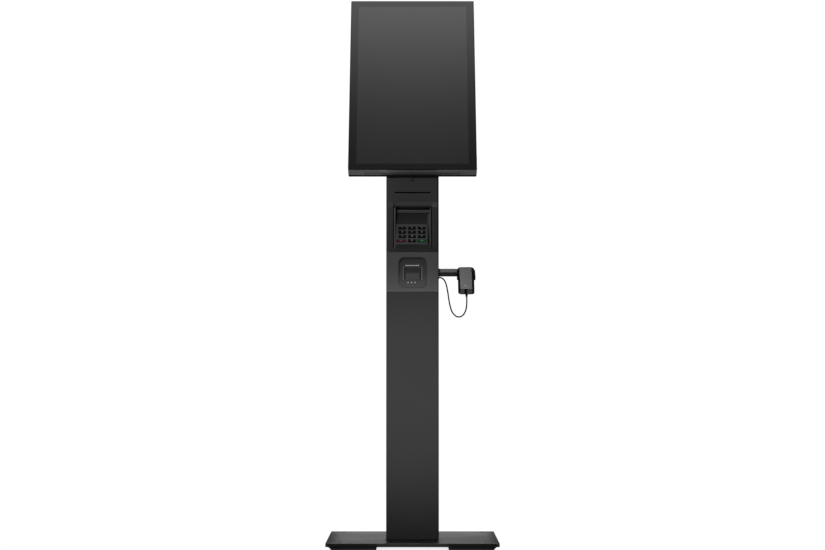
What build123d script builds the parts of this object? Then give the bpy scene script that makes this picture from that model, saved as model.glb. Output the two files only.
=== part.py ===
from build123d import *
import os
from math import sin, cos, tan, radians

# Free-standing touchscreen kiosk: a base plate, a square column with built-in scanner,
# payment terminal and receipt printer, a leaning display on top and a hand scanner at the side.
# Origin on the floor at the centre of the base plate, +Z up. The user stands on the -Y side
# and sees +X on the right. Lengths in millimetres, angles in degrees.

os.makedirs("parts", exist_ok=True)


def front(y):
    """Vertical plane facing the user at y. Its local x, y are X, Z; it extrudes towards -Y."""
    return Plane.XZ.offset(-y)


def leaning_plane(origin, lean):
    """Plane facing the user, leaning back from the vertical by an angle."""
    lean = radians(lean)
    return Plane(origin=origin, x_dir=(1, 0, 0), z_dir=(0, -cos(lean), sin(lean)))


def corners(half_x, half_y, centre_y=0.0):
    """Four corner points of a rectangle centred on x = 0."""
    return [(x, centre_y + y) for x in (-half_x, half_x) for y in (-half_y, half_y)]


def height_on(plane):
    """Sort key: how far a face's centre stands out of the plane."""
    return lambda face: plane.to_local_coords(face.center()).Z


# ---- dimensions shared between pieces ----
RUN = 0.06                    # running clearance on radius

# base
PLATE_W, PLATE_D, PLATE_T = 450.0, 402.0, 9.4
PLATE_Z0 = 11.6
PLATE_Z1 = PLATE_Z0 + PLATE_T
PLATE_R = 8.0
ANCHORS, ANCHOR_R = corners(190.0, 159.0), 5.5
LEVELLERS, LEVEL_R = corners(208.0, 62.0), 4.0
RUNNER_IN, RUNNER_OUT = 93.0, 217.0   # inner and outer |x| of the ballast bars
RUNNER_Z0 = 8.0
RUNNER_D = 398.0
FOOT_Y = -20.0                # centre of the foot bolt pattern
FOOT_BOLTS = corners(45.0, 42.0, FOOT_Y)
FOOT_BOLT_R, FOOT_HOLE_R = 5.0, 5.25

# column
COL_W = 139.0
YF, YB = -88.0, 48.0          # front and back planes of the column
COL_R = 5.0                   # front vertical edge radius
SHEET = 2.0
FLANGE_T = 5.0
FLANGE_Z1 = PLATE_Z1 + FLANGE_T
COVER_Z0 = 22.0
MODULE_Z0, MODULE_Z1 = 674.6, 779.2
DOOR_Z0, DOOR_Z1 = 779.9, 976.3
HEAD_Z0 = 976.9               # underside of the fixed strip above the door
REAR_SPLIT = 1000.0           # top of the rear cover
SPINE_T = 3.0
SPINE_HALF = 64.5
SPINE_YF, SPINE_YB = -18.0, 44.5
SPINE_Z1 = 1098.0
WEB_Y = SPINE_YB - SPINE_T    # inner face of the spine's rear web
INLET_Z = 78.0                # centre height of the mains inlet
COVER_SCREWS = [(x, z) for z in (64.0, 500.0, 960.0) for x in (-52.0, 52.0)]
BRACKET_Z = 1066.0
BRACKET_HOLES, BRACKET_HOLE_R = corners(42.0, 18.0, BRACKET_Z), 3.1

# display
TILT = 29.0                   # lean back from vertical
DISP_W, DISP_L, DISP_T = 339.6, 566.8, 34.8
FRAME_T = 25.8                # depth of glass and metal frame, the rear tray makes up the rest
TRAY_T = DISP_T - FRAME_T
DISP_CY, DISP_CZ = 4.4, 1241.5
GLASS_T = 2.0
ACTIVE_W, ACTIVE_L = 296.5, 527.0
AXIS_UP, AXIS_OUT = -95.0, -56.0  # tilt axis, up the display and out of its glass
PIN_R = 4.0
tilt_sin, tilt_cos = sin(radians(TILT)), cos(radians(TILT))
DISPLAY = leaning_plane((0, DISP_CY, DISP_CZ), TILT)      # outer face of the glass
TRAY_FRONT = DISPLAY.offset(-FRAME_T)
YOKE_T = 4.0
YOKE_REAR = DISPLAY.offset(-DISP_T - YOKE_T)
YOKE_SCREWS = corners(50.0, 50.0, AXIS_UP)


def display_yz(up, out):
    """(y, z) of a point some way up the display and out of its glass."""
    return (DISP_CY + tilt_sin * up - tilt_cos * out, DISP_CZ + tilt_cos * up + tilt_sin * out)


AXIS_Y, AXIS_Z = display_yz(AXIS_UP, AXIS_OUT)

# door, slot and payment terminal
DOOR_T = 2.5
DOOR_YB = -73.0
HINGE_X, HINGE_Y, HINGE_R = -65.5, -84.0, 2.0
SLOT_W, SLOT_H, SLOT_Z = 95.4, 3.4, 937.0
BAY_HALF, BAY_Z0, BAY_Z1 = 51.3, 790.0, 899.0
ROLL_EDGE_R = 18.0            # rolled edge above the terminal bay
LOCK_Z, LOCK_R = 970.4, 3.8
KEY_TILT = 26.0
KEYPAD_Y, KEYPAD_Z = -83.0, 801.0   # lower edge of the sloping face
KEYPAD = leaning_plane((-1.4, KEYPAD_Y, KEYPAD_Z), KEY_TILT)
SCREEN_CENTRE = (-1.0, 76.6)  # terminal's own display, on the sloping face
SCREEN_SEAT = 0.8
TERM_X, TERM_HALF = -2.4, 42.8   # the terminal sits towards the left of its bay
KEY_H, KEY_UP, KEY_DOWN, KEY_GAP = 8.3, 1.9, 2.6, 0.35
# name, centre across and up the sloping face, width
KEYS = (
    ("key_1", -26.1, 48.0, 20.5), ("key_2", 0.0, 48.0, 20.5), ("key_3", 26.1, 48.0, 20.5),
    ("key_4", -26.1, 35.5, 20.5), ("key_5", 0.0, 35.5, 20.5), ("key_6", 26.1, 35.5, 20.5),
    ("key_7", -26.1, 22.4, 20.5), ("key_8", 0.0, 22.4, 20.5), ("key_9", 26.1, 22.4, 20.5),
    ("key_cancel", -29.0, 9.1, 26.3), ("key_0", 0.0, 9.1, 20.5), ("key_enter", 26.6, 9.1, 26.3),
)

# built-in scanner
DISH_Z, DISH_W, DISH_H, DISH_R = 725.0, 75.0, 82.0, 16.0
DISH_TILT = 10.5
DISH_DEPTH = 8.1              # floor depth at the dish's centre
DISH_FLOOR = leaning_plane((0, YF + DISH_DEPTH, DISH_Z), DISH_TILT)
OPTICS_T = 1.8                # height of the optics frame above the floor
OPTICS_TOP = DISH_FLOOR.offset(OPTICS_T)
WINDOW_UP = -2.2              # window centre along the floor

# side arm and hand scanner
ARM_Y, ARM_X0, ARM_X1 = -38.0, COL_W / 2, 121.0
ARM_BOLTS = ((ARM_Y - 10, 725.5), (ARM_Y + 10, 725.5))
HAND_YAW = 12.0               # the handset's face turns towards the column
HAND_X, HAND_Y, HAND_Z = 142.3, -70.0, 668.0
HAND_W, HAND_H, HAND_D = 41.5, 71.5, 26.0
yaw_sin, yaw_cos = sin(radians(HAND_YAW)), cos(radians(HAND_YAW))
HANDSET = Plane(origin=(HAND_X, HAND_Y, HAND_Z), x_dir=(yaw_cos, -yaw_sin, 0),
                z_dir=(-yaw_sin, -yaw_cos, 0))
HAND_FRONT = HANDSET.offset(HAND_D / 2)
HAND_BACK = HANDSET.offset(-HAND_D / 2)
HAND_AXIS = Location((HAND_X, HAND_Y, 0), (0, 0, -HAND_YAW))
HAND_BUTTON = (0.9, 22.6)
HAND_CAP = (2.9, 6.7)
FACE_SEAT, CAP_SEAT = 2.0, 1.6   # depths of the seats in the handset's front
CABLE_R = 1.85
CABLE_Y, CABLE_Z = -69.5, 712.5   # cable outlet in the column's right wall


def channel_outline(width, y_front, y_back, wall, radius):
    """U-shaped section, open to the rear, with rounded front corners."""
    with BuildSketch() as outline:
        with Locations((0, (y_front + y_back) / 2)):
            Rectangle(width, y_back - y_front)
        fillet(outline.vertices().group_by(Axis.Y)[0], radius)
        with BuildSketch(mode=Mode.PRIVATE) as hollow:
            with Locations((0, (y_front + wall + y_back + 5) / 2)):
                Rectangle(width - 2 * wall, y_back + 5 - y_front - wall)
            fillet(hollow.vertices().group_by(Axis.Y)[0], radius - wall)
        add(hollow.sketch, mode=Mode.SUBTRACT)
    return outline.sketch


# ===========================================================================
# BASE
# ===========================================================================
def base_plate():
    with BuildPart() as plate:
        with BuildSketch(Plane.XY.offset(PLATE_Z0)):
            RectangleRounded(PLATE_W, PLATE_D, PLATE_R)
            with Locations(*ANCHORS):
                Circle(ANCHOR_R, mode=Mode.SUBTRACT)
            with Locations(*LEVELLERS):
                Circle(LEVEL_R + 0.15, mode=Mode.SUBTRACT)
            with Locations(*FOOT_BOLTS):
                Circle(FOOT_HOLE_R, mode=Mode.SUBTRACT)
        extrude(amount=PLATE_T)
        chamfer(plate.faces().sort_by(Axis.Z)[-1].outer_wire().edges(), 0.9)
    return plate.part


def ballast_runners():
    """Two bars under the plate, outer ends drawn in towards the floor."""
    with BuildPart() as runners:
        with BuildSketch(Plane.XZ):
            with BuildLine():
                Polyline((RUNNER_IN, RUNNER_Z0), (RUNNER_IN, PLATE_Z0), (RUNNER_OUT, PLATE_Z0),
                         (RUNNER_OUT - 3.5, RUNNER_Z0), close=True)
            make_face()
        extrude(amount=RUNNER_D / 2, both=True)
        mirror(about=Plane.YZ)
        with BuildSketch(Plane.XY.offset(RUNNER_Z0)):
            with Locations(*ANCHORS):
                Circle(ANCHOR_R)
        extrude(amount=PLATE_Z0 - RUNNER_Z0, mode=Mode.SUBTRACT)
    return runners.part


def rubber_pads():
    """Pads under the ballast bars, set in by 1 mm, with eased lower edges."""
    inner, outer = RUNNER_IN + 1, RUNNER_OUT - 4.5
    with BuildPart() as pads:
        with BuildSketch(Plane.XZ):
            with BuildLine():
                Polyline((inner, 1.0), (inner, RUNNER_Z0), (outer, RUNNER_Z0),
                         (outer - 3.5, 1.0), (outer - 4.5, 0), (inner + 1, 0), close=True)
            make_face()
        extrude(amount=RUNNER_D / 2 - 1, both=True)
        mirror(about=Plane.YZ)
        with BuildSketch(Plane.XY):
            with Locations(*ANCHORS):
                Circle(ANCHOR_R)
        extrude(amount=RUNNER_Z0, mode=Mode.SUBTRACT)
    return pads.part


def levelling_screws():
    below_top = 0.6
    with BuildPart() as screws:
        with BuildSketch(Plane.XY.offset(PLATE_Z0)):
            with Locations(*LEVELLERS):
                Circle(LEVEL_R)
        extrude(amount=PLATE_T - below_top)
        with BuildSketch(Plane.XY.offset(PLATE_Z1 - below_top)):
            with Locations(*LEVELLERS):
                RegularPolygon(2.3, 6)
        extrude(amount=-4, mode=Mode.SUBTRACT)
    return screws.part


# ===========================================================================
# COLUMN STRUCTURE
# ===========================================================================
def foot_bolts():
    head_r, head_h = 8.0, 8.0
    socket_r, socket_depth = 4.6, 5.0
    with BuildPart() as bolts:
        with BuildSketch(Plane.XY.offset(PLATE_Z0 + 0.5)):
            with Locations(*FOOT_BOLTS):
                Circle(FOOT_BOLT_R)
        extrude(amount=FLANGE_Z1 - PLATE_Z0)
        with BuildSketch(Plane.XY.offset(FLANGE_Z1)):
            with Locations(*FOOT_BOLTS):
                Circle(head_r)
        extrude(amount=head_h)
        with BuildSketch(Plane.XY.offset(FLANGE_Z1 + head_h)):
            with Locations(*FOOT_BOLTS):
                RegularPolygon(socket_r, 6)
        extrude(amount=-socket_depth, mode=Mode.SUBTRACT)
    return bolts.part


def column_spine():
    """Load-bearing steel channel, web at the rear, welded to its foot flange."""
    flange_inset = 7.0
    spine_cy, spine_d = (SPINE_YF + SPINE_YB) / 2, SPINE_YB - SPINE_YF
    with BuildPart() as spine:
        with BuildSketch(Plane.XY.offset(PLATE_Z1)):
            with Locations((0, (YF + YB) / 2)):
                RectangleRounded(COL_W - flange_inset, YB - YF - flange_inset, 4)
            with Locations(*FOOT_BOLTS):
                Circle(FOOT_HOLE_R, mode=Mode.SUBTRACT)
            with Locations((0, FOOT_Y)):
                Circle(16, mode=Mode.SUBTRACT)
        extrude(amount=FLANGE_T)
        with BuildSketch(Plane.XY.offset(FLANGE_Z1)):
            with Locations((0, spine_cy)):
                Rectangle(2 * SPINE_HALF, spine_d)
            with Locations((0, spine_cy - SPINE_T)):
                Rectangle(2 * SPINE_HALF - 2 * SPINE_T, spine_d, mode=Mode.SUBTRACT)
        extrude(amount=SPINE_Z1 - FLANGE_Z1)
        # windows, inlet opening and screw holes in the web
        with BuildSketch(front(SPINE_YB)):
            with Locations((0, 380), (0, 590), (0, 840)):
                RectangleRounded(76, 130, 14)
            with Locations((0, INLET_Z)):
                RectangleRounded(50, 36, 4)
            with Locations(*COVER_SCREWS):
                Circle(2.1)
            with Locations(*BRACKET_HOLES):
                Circle(BRACKET_HOLE_R)
        extrude(amount=10, both=True, mode=Mode.SUBTRACT)
        # lightening slots in the two side flanges
        with BuildSketch(Plane.YZ):
            with Locations(*[(12, z) for z in (170.0, 330.0, 490.0, 900.0)]):
                SlotOverall(70, 22, rotation=90)
        extrude(amount=100, both=True, mode=Mode.SUBTRACT)
    return spine.part


# ===========================================================================
# COLUMN COVERS
# ===========================================================================
def lower_cover():
    with BuildPart() as cover:
        with BuildSketch(Plane.XY.offset(COVER_Z0)):
            add(channel_outline(COL_W, YF, YB, SHEET, COL_R))
        extrude(amount=MODULE_Z0 - 0.6 - COVER_Z0)
        # eased front edge of the top rim
        chamfer(cover.faces().sort_by(Axis.Z)[-1].edges().filter_by(
            lambda e: e.center().Y < YF + 0.2), 0.9)
    return cover.part


def rear_cover():
    slot_pitch = 8.0
    slot_heights = [start + i * slot_pitch for start in (150.0, 860.0) for i in range(6)]
    with BuildPart() as cover:
        with BuildSketch(front(YB)):
            with Locations((0, (COVER_Z0 + REAR_SPLIT) / 2)):
                RectangleRounded(COL_W - 2 * SHEET - 2.6, REAR_SPLIT - COVER_Z0, 2)
            # mains inlet cut-out
            with Locations((0, INLET_Z)):
                RectangleRounded(48.6, 28.6, 2, mode=Mode.SUBTRACT)
            # ventilation slots low down and behind the head
            with Locations(*[(0, z) for z in slot_heights]):
                SlotOverall(72, 3.4, mode=Mode.SUBTRACT)
            with Locations(*COVER_SCREWS):
                Circle(2.2, mode=Mode.SUBTRACT)
        extrude(amount=SHEET)
    return cover.part


def cover_screws():
    head_h = 2.0
    with BuildPart() as screws:
        with BuildSketch(front(YB)):
            with Locations(*COVER_SCREWS):
                Circle(2.0)
        extrude(amount=7.5)
        with BuildSketch(front(YB)):
            with Locations(*COVER_SCREWS):
                Circle(4.0)
        extrude(amount=-head_h)
        chamfer(screws.faces().filter_by(Axis.Y).group_by(Axis.Y)[-1].edges(), 0.6)
        with BuildSketch(front(YB + head_h)):
            with Locations(*COVER_SCREWS):
                RegularPolygon(1.5, 6)
        extrude(amount=1.6, mode=Mode.SUBTRACT)
    return screws.part


def module_cover():
    """Moulded cover of the built-in scanner module."""
    wall = 3.0
    shelf_yf, shelf_yb = YF + wall, YB - 4
    with BuildPart() as cover:
        with BuildSketch(Plane.XY.offset(MODULE_Z0)):
            add(channel_outline(COL_W, YF, YB, wall, COL_R))
        extrude(amount=MODULE_Z1 - MODULE_Z0)
        # shelf that carries the door's lower pin
        with BuildSketch(Plane.XY.offset(MODULE_Z1 - wall)):
            with Locations((0, (shelf_yf + shelf_yb) / 2)):
                Rectangle(COL_W - 2 * wall, shelf_yb - shelf_yf)
            with Locations((0, -20)):
                Rectangle(100, 96, mode=Mode.SUBTRACT)
            with Locations((0, 13)):
                Rectangle(132, 64, mode=Mode.SUBTRACT)
        extrude(amount=wall)
        with Locations(Location((HINGE_X, HINGE_Y, MODULE_Z1))):
            Cylinder(HINGE_R, 20, mode=Mode.SUBTRACT)
        # opening for the dish
        with BuildSketch(front(YF - 1)):
            with Locations((0, DISH_Z)):
                RectangleRounded(DISH_W + 0.4, DISH_H + 0.4, DISH_R)
        extrude(amount=-6, mode=Mode.SUBTRACT)
        # right wall: arm bolt holes and cable outlet
        with BuildSketch(Plane.YZ.offset(COL_W / 2 + 1)):
            with Locations(*ARM_BOLTS):
                Circle(3.1)
            with Locations((CABLE_Y, CABLE_Z)):
                Circle(3.6)
        extrude(amount=-8, mode=Mode.SUBTRACT)
    return cover.part


def head_shell():
    """Fixed shell of the head: side walls, slanted front, top and upper back."""
    wall = 2.2
    strip_z = HEAD_Z0 + 2.6       # inner top of the strip above the door
    slant_top = display_yz(-84.0, -43.5)
    slant_top_inner = display_yz(-86.0, -46.0)
    # (y, z) side profiles of the shell and of its hollow
    outer = [(YF, HEAD_Z0), (YF, 985.0), slant_top, (YB, slant_top[1]), (YB, DOOR_Z0),
             (-72.0, DOOR_Z0), (-72.0, HEAD_Z0)]
    hollow = [(YF + wall, strip_z), (YF + wall, 983.8), slant_top_inner,
              (YB - wall, slant_top_inner[1]), (YB - wall, REAR_SPLIT + 0.4),
              (YB + 10, REAR_SPLIT + 0.4), (YB + 10, DOOR_Z0 - 10), (-80, DOOR_Z0 - 10),
              (-80, HEAD_Z0), (-68, HEAD_Z0), (-68, strip_z)]
    with BuildPart() as shell:
        with BuildSketch(Plane.YZ):
            with BuildLine():
                Polyline(*outer, close=True)
            make_face()
        extrude(amount=COL_W / 2, both=True)
        fillet(shell.edges().filter_by(
            lambda e: abs(abs(e.center().X) - COL_W / 2) < 0.01
            and e.center().Z > HEAD_Z0 + 1 and e.center().Y < YB - 1), 4.0)
        with BuildSketch(Plane.YZ):
            with BuildLine():
                Polyline(*hollow, close=True)
            make_face()
        extrude(amount=COL_W / 2 - wall, both=True, mode=Mode.SUBTRACT)
        # notch for the tilt hinge at the top of the slanted face
        with BuildSketch(DISPLAY.offset(-30)):
            with Locations((0, -93)):
                Rectangle(100, 64)
        extrude(amount=-38, mode=Mode.SUBTRACT)
        # seat of the door's upper pin
        with Locations(Location((HINGE_X, HINGE_Y, HEAD_Z0))):
            Cylinder(HINGE_R, 12, mode=Mode.SUBTRACT)
        # keeper slot that takes the door lock's cam when it is turned up
        with Locations(Location((5.2, -84.3, HEAD_Z0 + 1.4))):
            Box(17.6, 3.0, 4.4, mode=Mode.SUBTRACT)
    return shell.part


# ===========================================================================
# BUILT-IN SCANNER
# ===========================================================================
def dish_cavity():
    """Hollow of the dish, cut off at its leaning floor."""
    with BuildPart() as cavity:
        with BuildSketch(front(YF - 1)):
            with Locations((0, DISH_Z)):
                RectangleRounded(DISH_W - 5, DISH_H - 5, DISH_R - 2.5)
        extrude(amount=-20)
        split(bisect_by=DISH_FLOOR, keep=Keep.TOP)
    return cavity.part


def scanner_dish():
    cavity = dish_cavity()
    floor_normal_z = sin(radians(DISH_TILT))
    with BuildPart() as dish:
        with BuildSketch(front(YF)):
            with Locations((0, DISH_Z)):
                RectangleRounded(DISH_W, DISH_H, DISH_R - 0.2)
        extrude(amount=-19)
        add(cavity, mode=Mode.SUBTRACT)
        # rounded mouth of the cavity
        fillet(dish.edges().filter_by(
            lambda e: abs(e.center().Y - YF) < 0.05 and abs(e.center().X) < DISH_W / 2 - 1.5
            and abs(e.center().Z - DISH_Z) < DISH_H / 2 - 1.5), 1.0)
        # raised optics frame
        with BuildSketch(DISH_FLOOR):
            with Locations((0, 4.0)):
                RectangleRounded(54, 50, 5)
        extrude(amount=OPTICS_T)
        chamfer(dish.faces().filter_by(
            lambda f: abs(f.normal_at().Z - floor_normal_z) < 0.01
        ).sort_by(height_on(DISH_FLOOR))[-1].edges(), 0.7)
        # seat of the window, then the opening behind it
        with BuildSketch(OPTICS_TOP):
            with Locations((0, WINDOW_UP)):
                RectangleRounded(44, 31, 2.5)
        extrude(amount=-1.2, mode=Mode.SUBTRACT)
        with BuildSketch(OPTICS_TOP):
            with Locations((0, WINDOW_UP)):
                RectangleRounded(34, 21, 2)
        extrude(amount=-30, mode=Mode.SUBTRACT)
    return dish.part


def scan_window():
    with BuildPart() as window:
        with BuildSketch(DISH_FLOOR.offset(0.6)):
            with Locations((0, WINDOW_UP)):
                RectangleRounded(43.6, 30.6, 2.3)
        extrude(amount=1.0)
    return window.part


def scan_lights():
    """Light pipes: aiming brackets beside the window, lamp row and status dots."""
    inner, web, outer = -22.9, -23.9, -25.1   # x of the left bracket
    bottom, top, lip = -19.6, 14.6, 1.4
    with BuildPart() as lights:
        with BuildSketch(OPTICS_TOP):
            with BuildLine():
                Polyline((inner, top), (outer, top), (outer, bottom), (inner, bottom),
                         (inner, bottom + lip), (web, bottom + lip), (web, top - lip),
                         (inner, top - lip), close=True)
            make_face()
            mirror(about=Plane.YZ)
        extrude(amount=0.5)
        # row of seven illumination lenses
        with BuildSketch(OPTICS_TOP):
            with Locations((-0.8, 19.0)):
                with GridLocations(5.35, 1, 7, 1):
                    RectangleRounded(3.3, 2.2, 0.8)
        extrude(amount=0.6)
        # three small status lenses
        with BuildSketch(DISH_FLOOR):
            with Locations((-2.4, -26.8)):
                with GridLocations(9.4, 1, 3, 1):
                    RectangleRounded(3.2, 3.2, 1.2)
        extrude(amount=0.5)
    return lights.part


def scan_engine():
    body_y, body_d, body_z = -66.0, 30.0, 723.0
    barrel_h = 2.5
    barrels = ((-6.6, 722.5), (6.6, 722.5))
    with BuildPart() as engine:
        with BuildSketch(front(body_y)):
            with Locations((0, body_z)):
                RectangleRounded(64, 46, 3)
        extrude(amount=-body_d)
        # two round barrels on the front, bored out
        with BuildSketch(front(body_y)):
            with Locations(*barrels):
                Circle(6.2)
        extrude(amount=barrel_h)
        with BuildSketch(front(body_y - barrel_h)):
            with Locations(*barrels):
                Circle(4.6)
        extrude(amount=-6, mode=Mode.SUBTRACT)
        # wider strip across the back
        with BuildSketch(front(body_y + body_d)):
            with Locations((0, body_z)):
                Rectangle(80, 20)
        extrude(amount=-2)
    return engine.part


# ===========================================================================
# HEAD DOOR WITH SLOT, ROLLED BAY EDGE AND PAYMENT TERMINAL
# ===========================================================================
def head_door():
    flange_inset = 2.0
    rolled_y, rolled_z = YF + ROLL_EDGE_R, BAY_Z1 + ROLL_EDGE_R
    arc_part = 1 - cos(radians(45))
    arc_middle = (YF + ROLL_EDGE_R * arc_part, BAY_Z1 + ROLL_EDGE_R * arc_part)
    # (y, z) side profile of the shroud around the terminal bay
    shroud = [(YF + 1, BAY_Z0 - 3.5), (-46, BAY_Z0 - 3.5), (-46, BAY_Z1 + 2.6),
              (rolled_y + 1.5, BAY_Z1 + 2.6), (rolled_y + 1.5, rolled_z + 3),
              (YF + 1, rolled_z + 3)]
    with BuildPart() as door:
        with BuildSketch(Plane.XY.offset(DOOR_Z0)):
            add(channel_outline(COL_W, YF, DOOR_YB, DOOR_T, COL_R))
        extrude(amount=DOOR_Z1 - DOOR_Z0)
        # bottom and top flanges
        for z in (DOOR_Z0, DOOR_Z1 - DOOR_T):
            with BuildSketch(Plane.XY.offset(z)):
                with Locations((0, (YF + DOOR_YB) / 2)):
                    Rectangle(COL_W - 3, DOOR_YB - YF - 2 * flange_inset)
            extrude(amount=DOOR_T)
        with BuildSketch(Plane.YZ):
            with BuildLine():
                Polyline(*shroud, close=True)
            make_face()
        extrude(amount=BAY_HALF + 2.5, both=True)
        # the bay itself, its top edge rolled inwards
        with BuildSketch(Plane.YZ):
            with BuildLine():
                Line((YF - 4, rolled_z), (YF, rolled_z))
                ThreePointArc((YF, rolled_z), arc_middle, (rolled_y, BAY_Z1))
                Polyline((rolled_y, BAY_Z1), (-30, BAY_Z1), (-30, BAY_Z0), (YF - 4, BAY_Z0),
                         (YF - 4, rolled_z))
            make_face()
        extrude(amount=BAY_HALF, both=True, mode=Mode.SUBTRACT)
        # receipt slot
        with BuildSketch(front(YF - 1)):
            with Locations((0, SLOT_Z)):
                SlotOverall(SLOT_W, SLOT_H)
        extrude(amount=-6, mode=Mode.SUBTRACT)
        # lock: cylinder hole and cam clearance through the top flange
        with BuildSketch(front(YF - 1)):
            with Locations((0, LOCK_Z)):
                Circle(LOCK_R + RUN)
        extrude(amount=-5, mode=Mode.SUBTRACT)
        with BuildSketch(front(YF + DOOR_T)):
            with Locations((5.4, DOOR_Z1 - 3)):
                Rectangle(19.2, 8)
        extrude(amount=-4.0, mode=Mode.SUBTRACT)
        # hinge pin holes through both flanges
        with Locations(*[Location((HINGE_X, HINGE_Y, z)) for z in (DOOR_Z0 + 1, DOOR_Z1 - 1)]):
            Cylinder(HINGE_R + RUN, 8, mode=Mode.SUBTRACT)
    return door.part


def door_pins():
    heights = (MODULE_Z1 + 0.5, HEAD_Z0 - 0.5)
    with BuildPart() as pins:
        with Locations(*[Location((HINGE_X, HINGE_Y, z)) for z in heights]):
            Cylinder(HINGE_R, 8.0)
    return pins.part


def paper_chute():
    """Plastic chute that guides the receipt to the slot, wider towards the rear."""
    # (front y, half height there, rear y, half height there, half width, mode)
    stages = (
        (YF + DOOR_T, 5.0, -70.0, 8.0, SLOT_W / 2 + 3.5, Mode.ADD),
        (YF, SLOT_H / 2, -69.0, 5.5, SLOT_W / 2 + 0.3, Mode.SUBTRACT),
    )
    with BuildPart() as chute:
        for front_y, front_half, rear_y, rear_half, half_width, mode in stages:
            with BuildSketch(Plane.YZ):
                with BuildLine():
                    Polyline((front_y, SLOT_Z - front_half), (rear_y, SLOT_Z - rear_half),
                             (rear_y, SLOT_Z + rear_half), (front_y, SLOT_Z + front_half),
                             close=True)
                make_face()
            extrude(amount=half_width, both=True, mode=mode)
    return chute.part


def door_lock():
    """Lock cylinder with key slit and its cam, turned by the key."""
    proud = 0.3
    with BuildPart() as lock:
        with BuildSketch(front(YF - proud)):
            with Locations((0, LOCK_Z)):
                Circle(LOCK_R)
        extrude(amount=-(DOOR_T + 0.5))
        with BuildSketch(front(YF + DOOR_T + 0.2)):
            with Locations((5.0, LOCK_Z)):
                SlotOverall(15.4, 5.0)
        extrude(amount=-2.0)
        with BuildSketch(front(YF - proud)):
            with Locations((0, LOCK_Z)):
                Rectangle(0.8, 3.4)
        extrude(amount=-1.6, mode=Mode.SUBTRACT)
    return lock.part


def terminal_housing():
    """Payment terminal body: sloping keypad face, ledge above it, rear flange."""
    bottom, top = BAY_Z0 + 0.4, BAY_Z1 - 0.4
    back_y = -31.0
    face_h = 84.5
    face_top_y, face_top_z = KEYPAD_Y + tan(radians(KEY_TILT)) * face_h, KEYPAD_Z + face_h
    ledge_y = face_top_y - 7.5
    # (y, z) side profiles
    body = [(-78.0, bottom), (-78.0, 799.6), (KEYPAD_Y, 799.6), (KEYPAD_Y, KEYPAD_Z),
            (face_top_y, face_top_z), (ledge_y, face_top_z), (ledge_y, 889.4),
            (ledge_y + 1.2, 890.6), (back_y, 890.6), (back_y, bottom)]
    rail = [(-81.0, bottom), (-81.0, 896.0), (-78.4, top), (back_y, top), (back_y, bottom)]
    back_panel = [(-36.0, bottom), (-36.0, top), (back_y, top), (back_y, bottom)]
    flange_z = (BAY_Z0 + BAY_Z1) / 2 - 1
    with BuildPart() as housing:
        with BuildSketch(Plane.YZ.offset(TERM_X)):
            with BuildLine():
                Polyline(*body, close=True)
            make_face()
        extrude(amount=TERM_HALF, both=True)
        # two side rails that frame the sloping face
        for x_left, x_right in ((-48.9, -45.4), (46.6, 48.5)):
            with BuildSketch(Plane.YZ.offset(x_left)):
                with BuildLine():
                    Polyline(*rail, close=True)
                make_face()
            extrude(amount=x_right - x_left)
        # back panel across the full width of the bay
        with BuildSketch(Plane.YZ):
            with BuildLine():
                Polyline(*back_panel, close=True)
            make_face()
        extrude(amount=BAY_HALF - 0.4, both=True)
        # rear mounting flange, open above the sloping face
        with BuildSketch(front(-46)):
            with Locations((0, 831.5)):
                Rectangle(2 * BAY_HALF + 5, 88)
            with Locations((-49.65, flange_z), (50.2, flange_z)):
                Rectangle(7.2, 112)
        extrude(amount=-3)
        # key wells
        with BuildSketch(KEYPAD):
            for _, across, up, width in KEYS:
                with Locations((across, up)):
                    RectangleRounded(width + 2 * KEY_GAP, KEY_H + 2 * KEY_GAP, 1.8)
        extrude(amount=-(KEY_DOWN + 1.8), mode=Mode.SUBTRACT)
        # shallow seat of the terminal's own display
        with BuildSketch(KEYPAD):
            with Locations(SCREEN_CENTRE):
                RectangleRounded(83.4, 32.6, 2)
        extrude(amount=-SCREEN_SEAT, mode=Mode.SUBTRACT)
    return housing.part


def terminal_display():
    with BuildPart() as screen:
        with BuildSketch(KEYPAD.offset(-SCREEN_SEAT)):
            with Locations(SCREEN_CENTRE):
                RectangleRounded(83.0, 32.2, 1.8)
        extrude(amount=0.7)
    return screen.part


def card_reader():
    """Chip-card mouth below the keypad, with drain slits."""
    mouth = front(-86.5)
    with BuildPart() as reader:
        with BuildSketch(mouth):
            with Locations((0.4, 795.0)):
                RectangleRounded(90.8, 8.8, 1.2)
        extrude(amount=-8.3)
        with BuildSketch(mouth):
            with Locations((-8, 798.3)):
                Rectangle(60, 1.2)
        extrude(amount=-7.5, mode=Mode.SUBTRACT)
        with BuildSketch(mouth):
            with Locations((-13, 794.2)):
                with GridLocations(6.4, 1, 6, 1):
                    Rectangle(2.3, 5.6)
        extrude(amount=-5.0, mode=Mode.SUBTRACT)
    return reader.part


def terminal_key(across, up, width):
    with BuildPart() as key:
        with BuildSketch(KEYPAD.offset(-KEY_DOWN)):
            with Locations((across, up)):
                RectangleRounded(width, KEY_H, 1.5)
        extrude(amount=KEY_DOWN + KEY_UP)
        fillet(key.faces().sort_by(height_on(KEYPAD))[-1].edges(), 0.9)
    return key.part


# ===========================================================================
# RECEIPT PRINTER
# ===========================================================================
PRINTER_Z0, PRINTER_Z1 = 904.0, 972.0
PRINTER_H = PRINTER_Z1 - PRINTER_Z0
PRINTER_Y = -14.0
PRINTER_HALF_IN = 43.0        # half the width between its side walls
PAPER_AXIS, PAPER_R, PAPER_CORE_R = (2.0, 938.6), 31.0, 6.0   # axis as (y, z)
PLATEN_Y, PLATEN_Z, PLATEN_R, PLATEN_SHAFT_R = -54.0, 931.2, 5.0, 2.5


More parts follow.
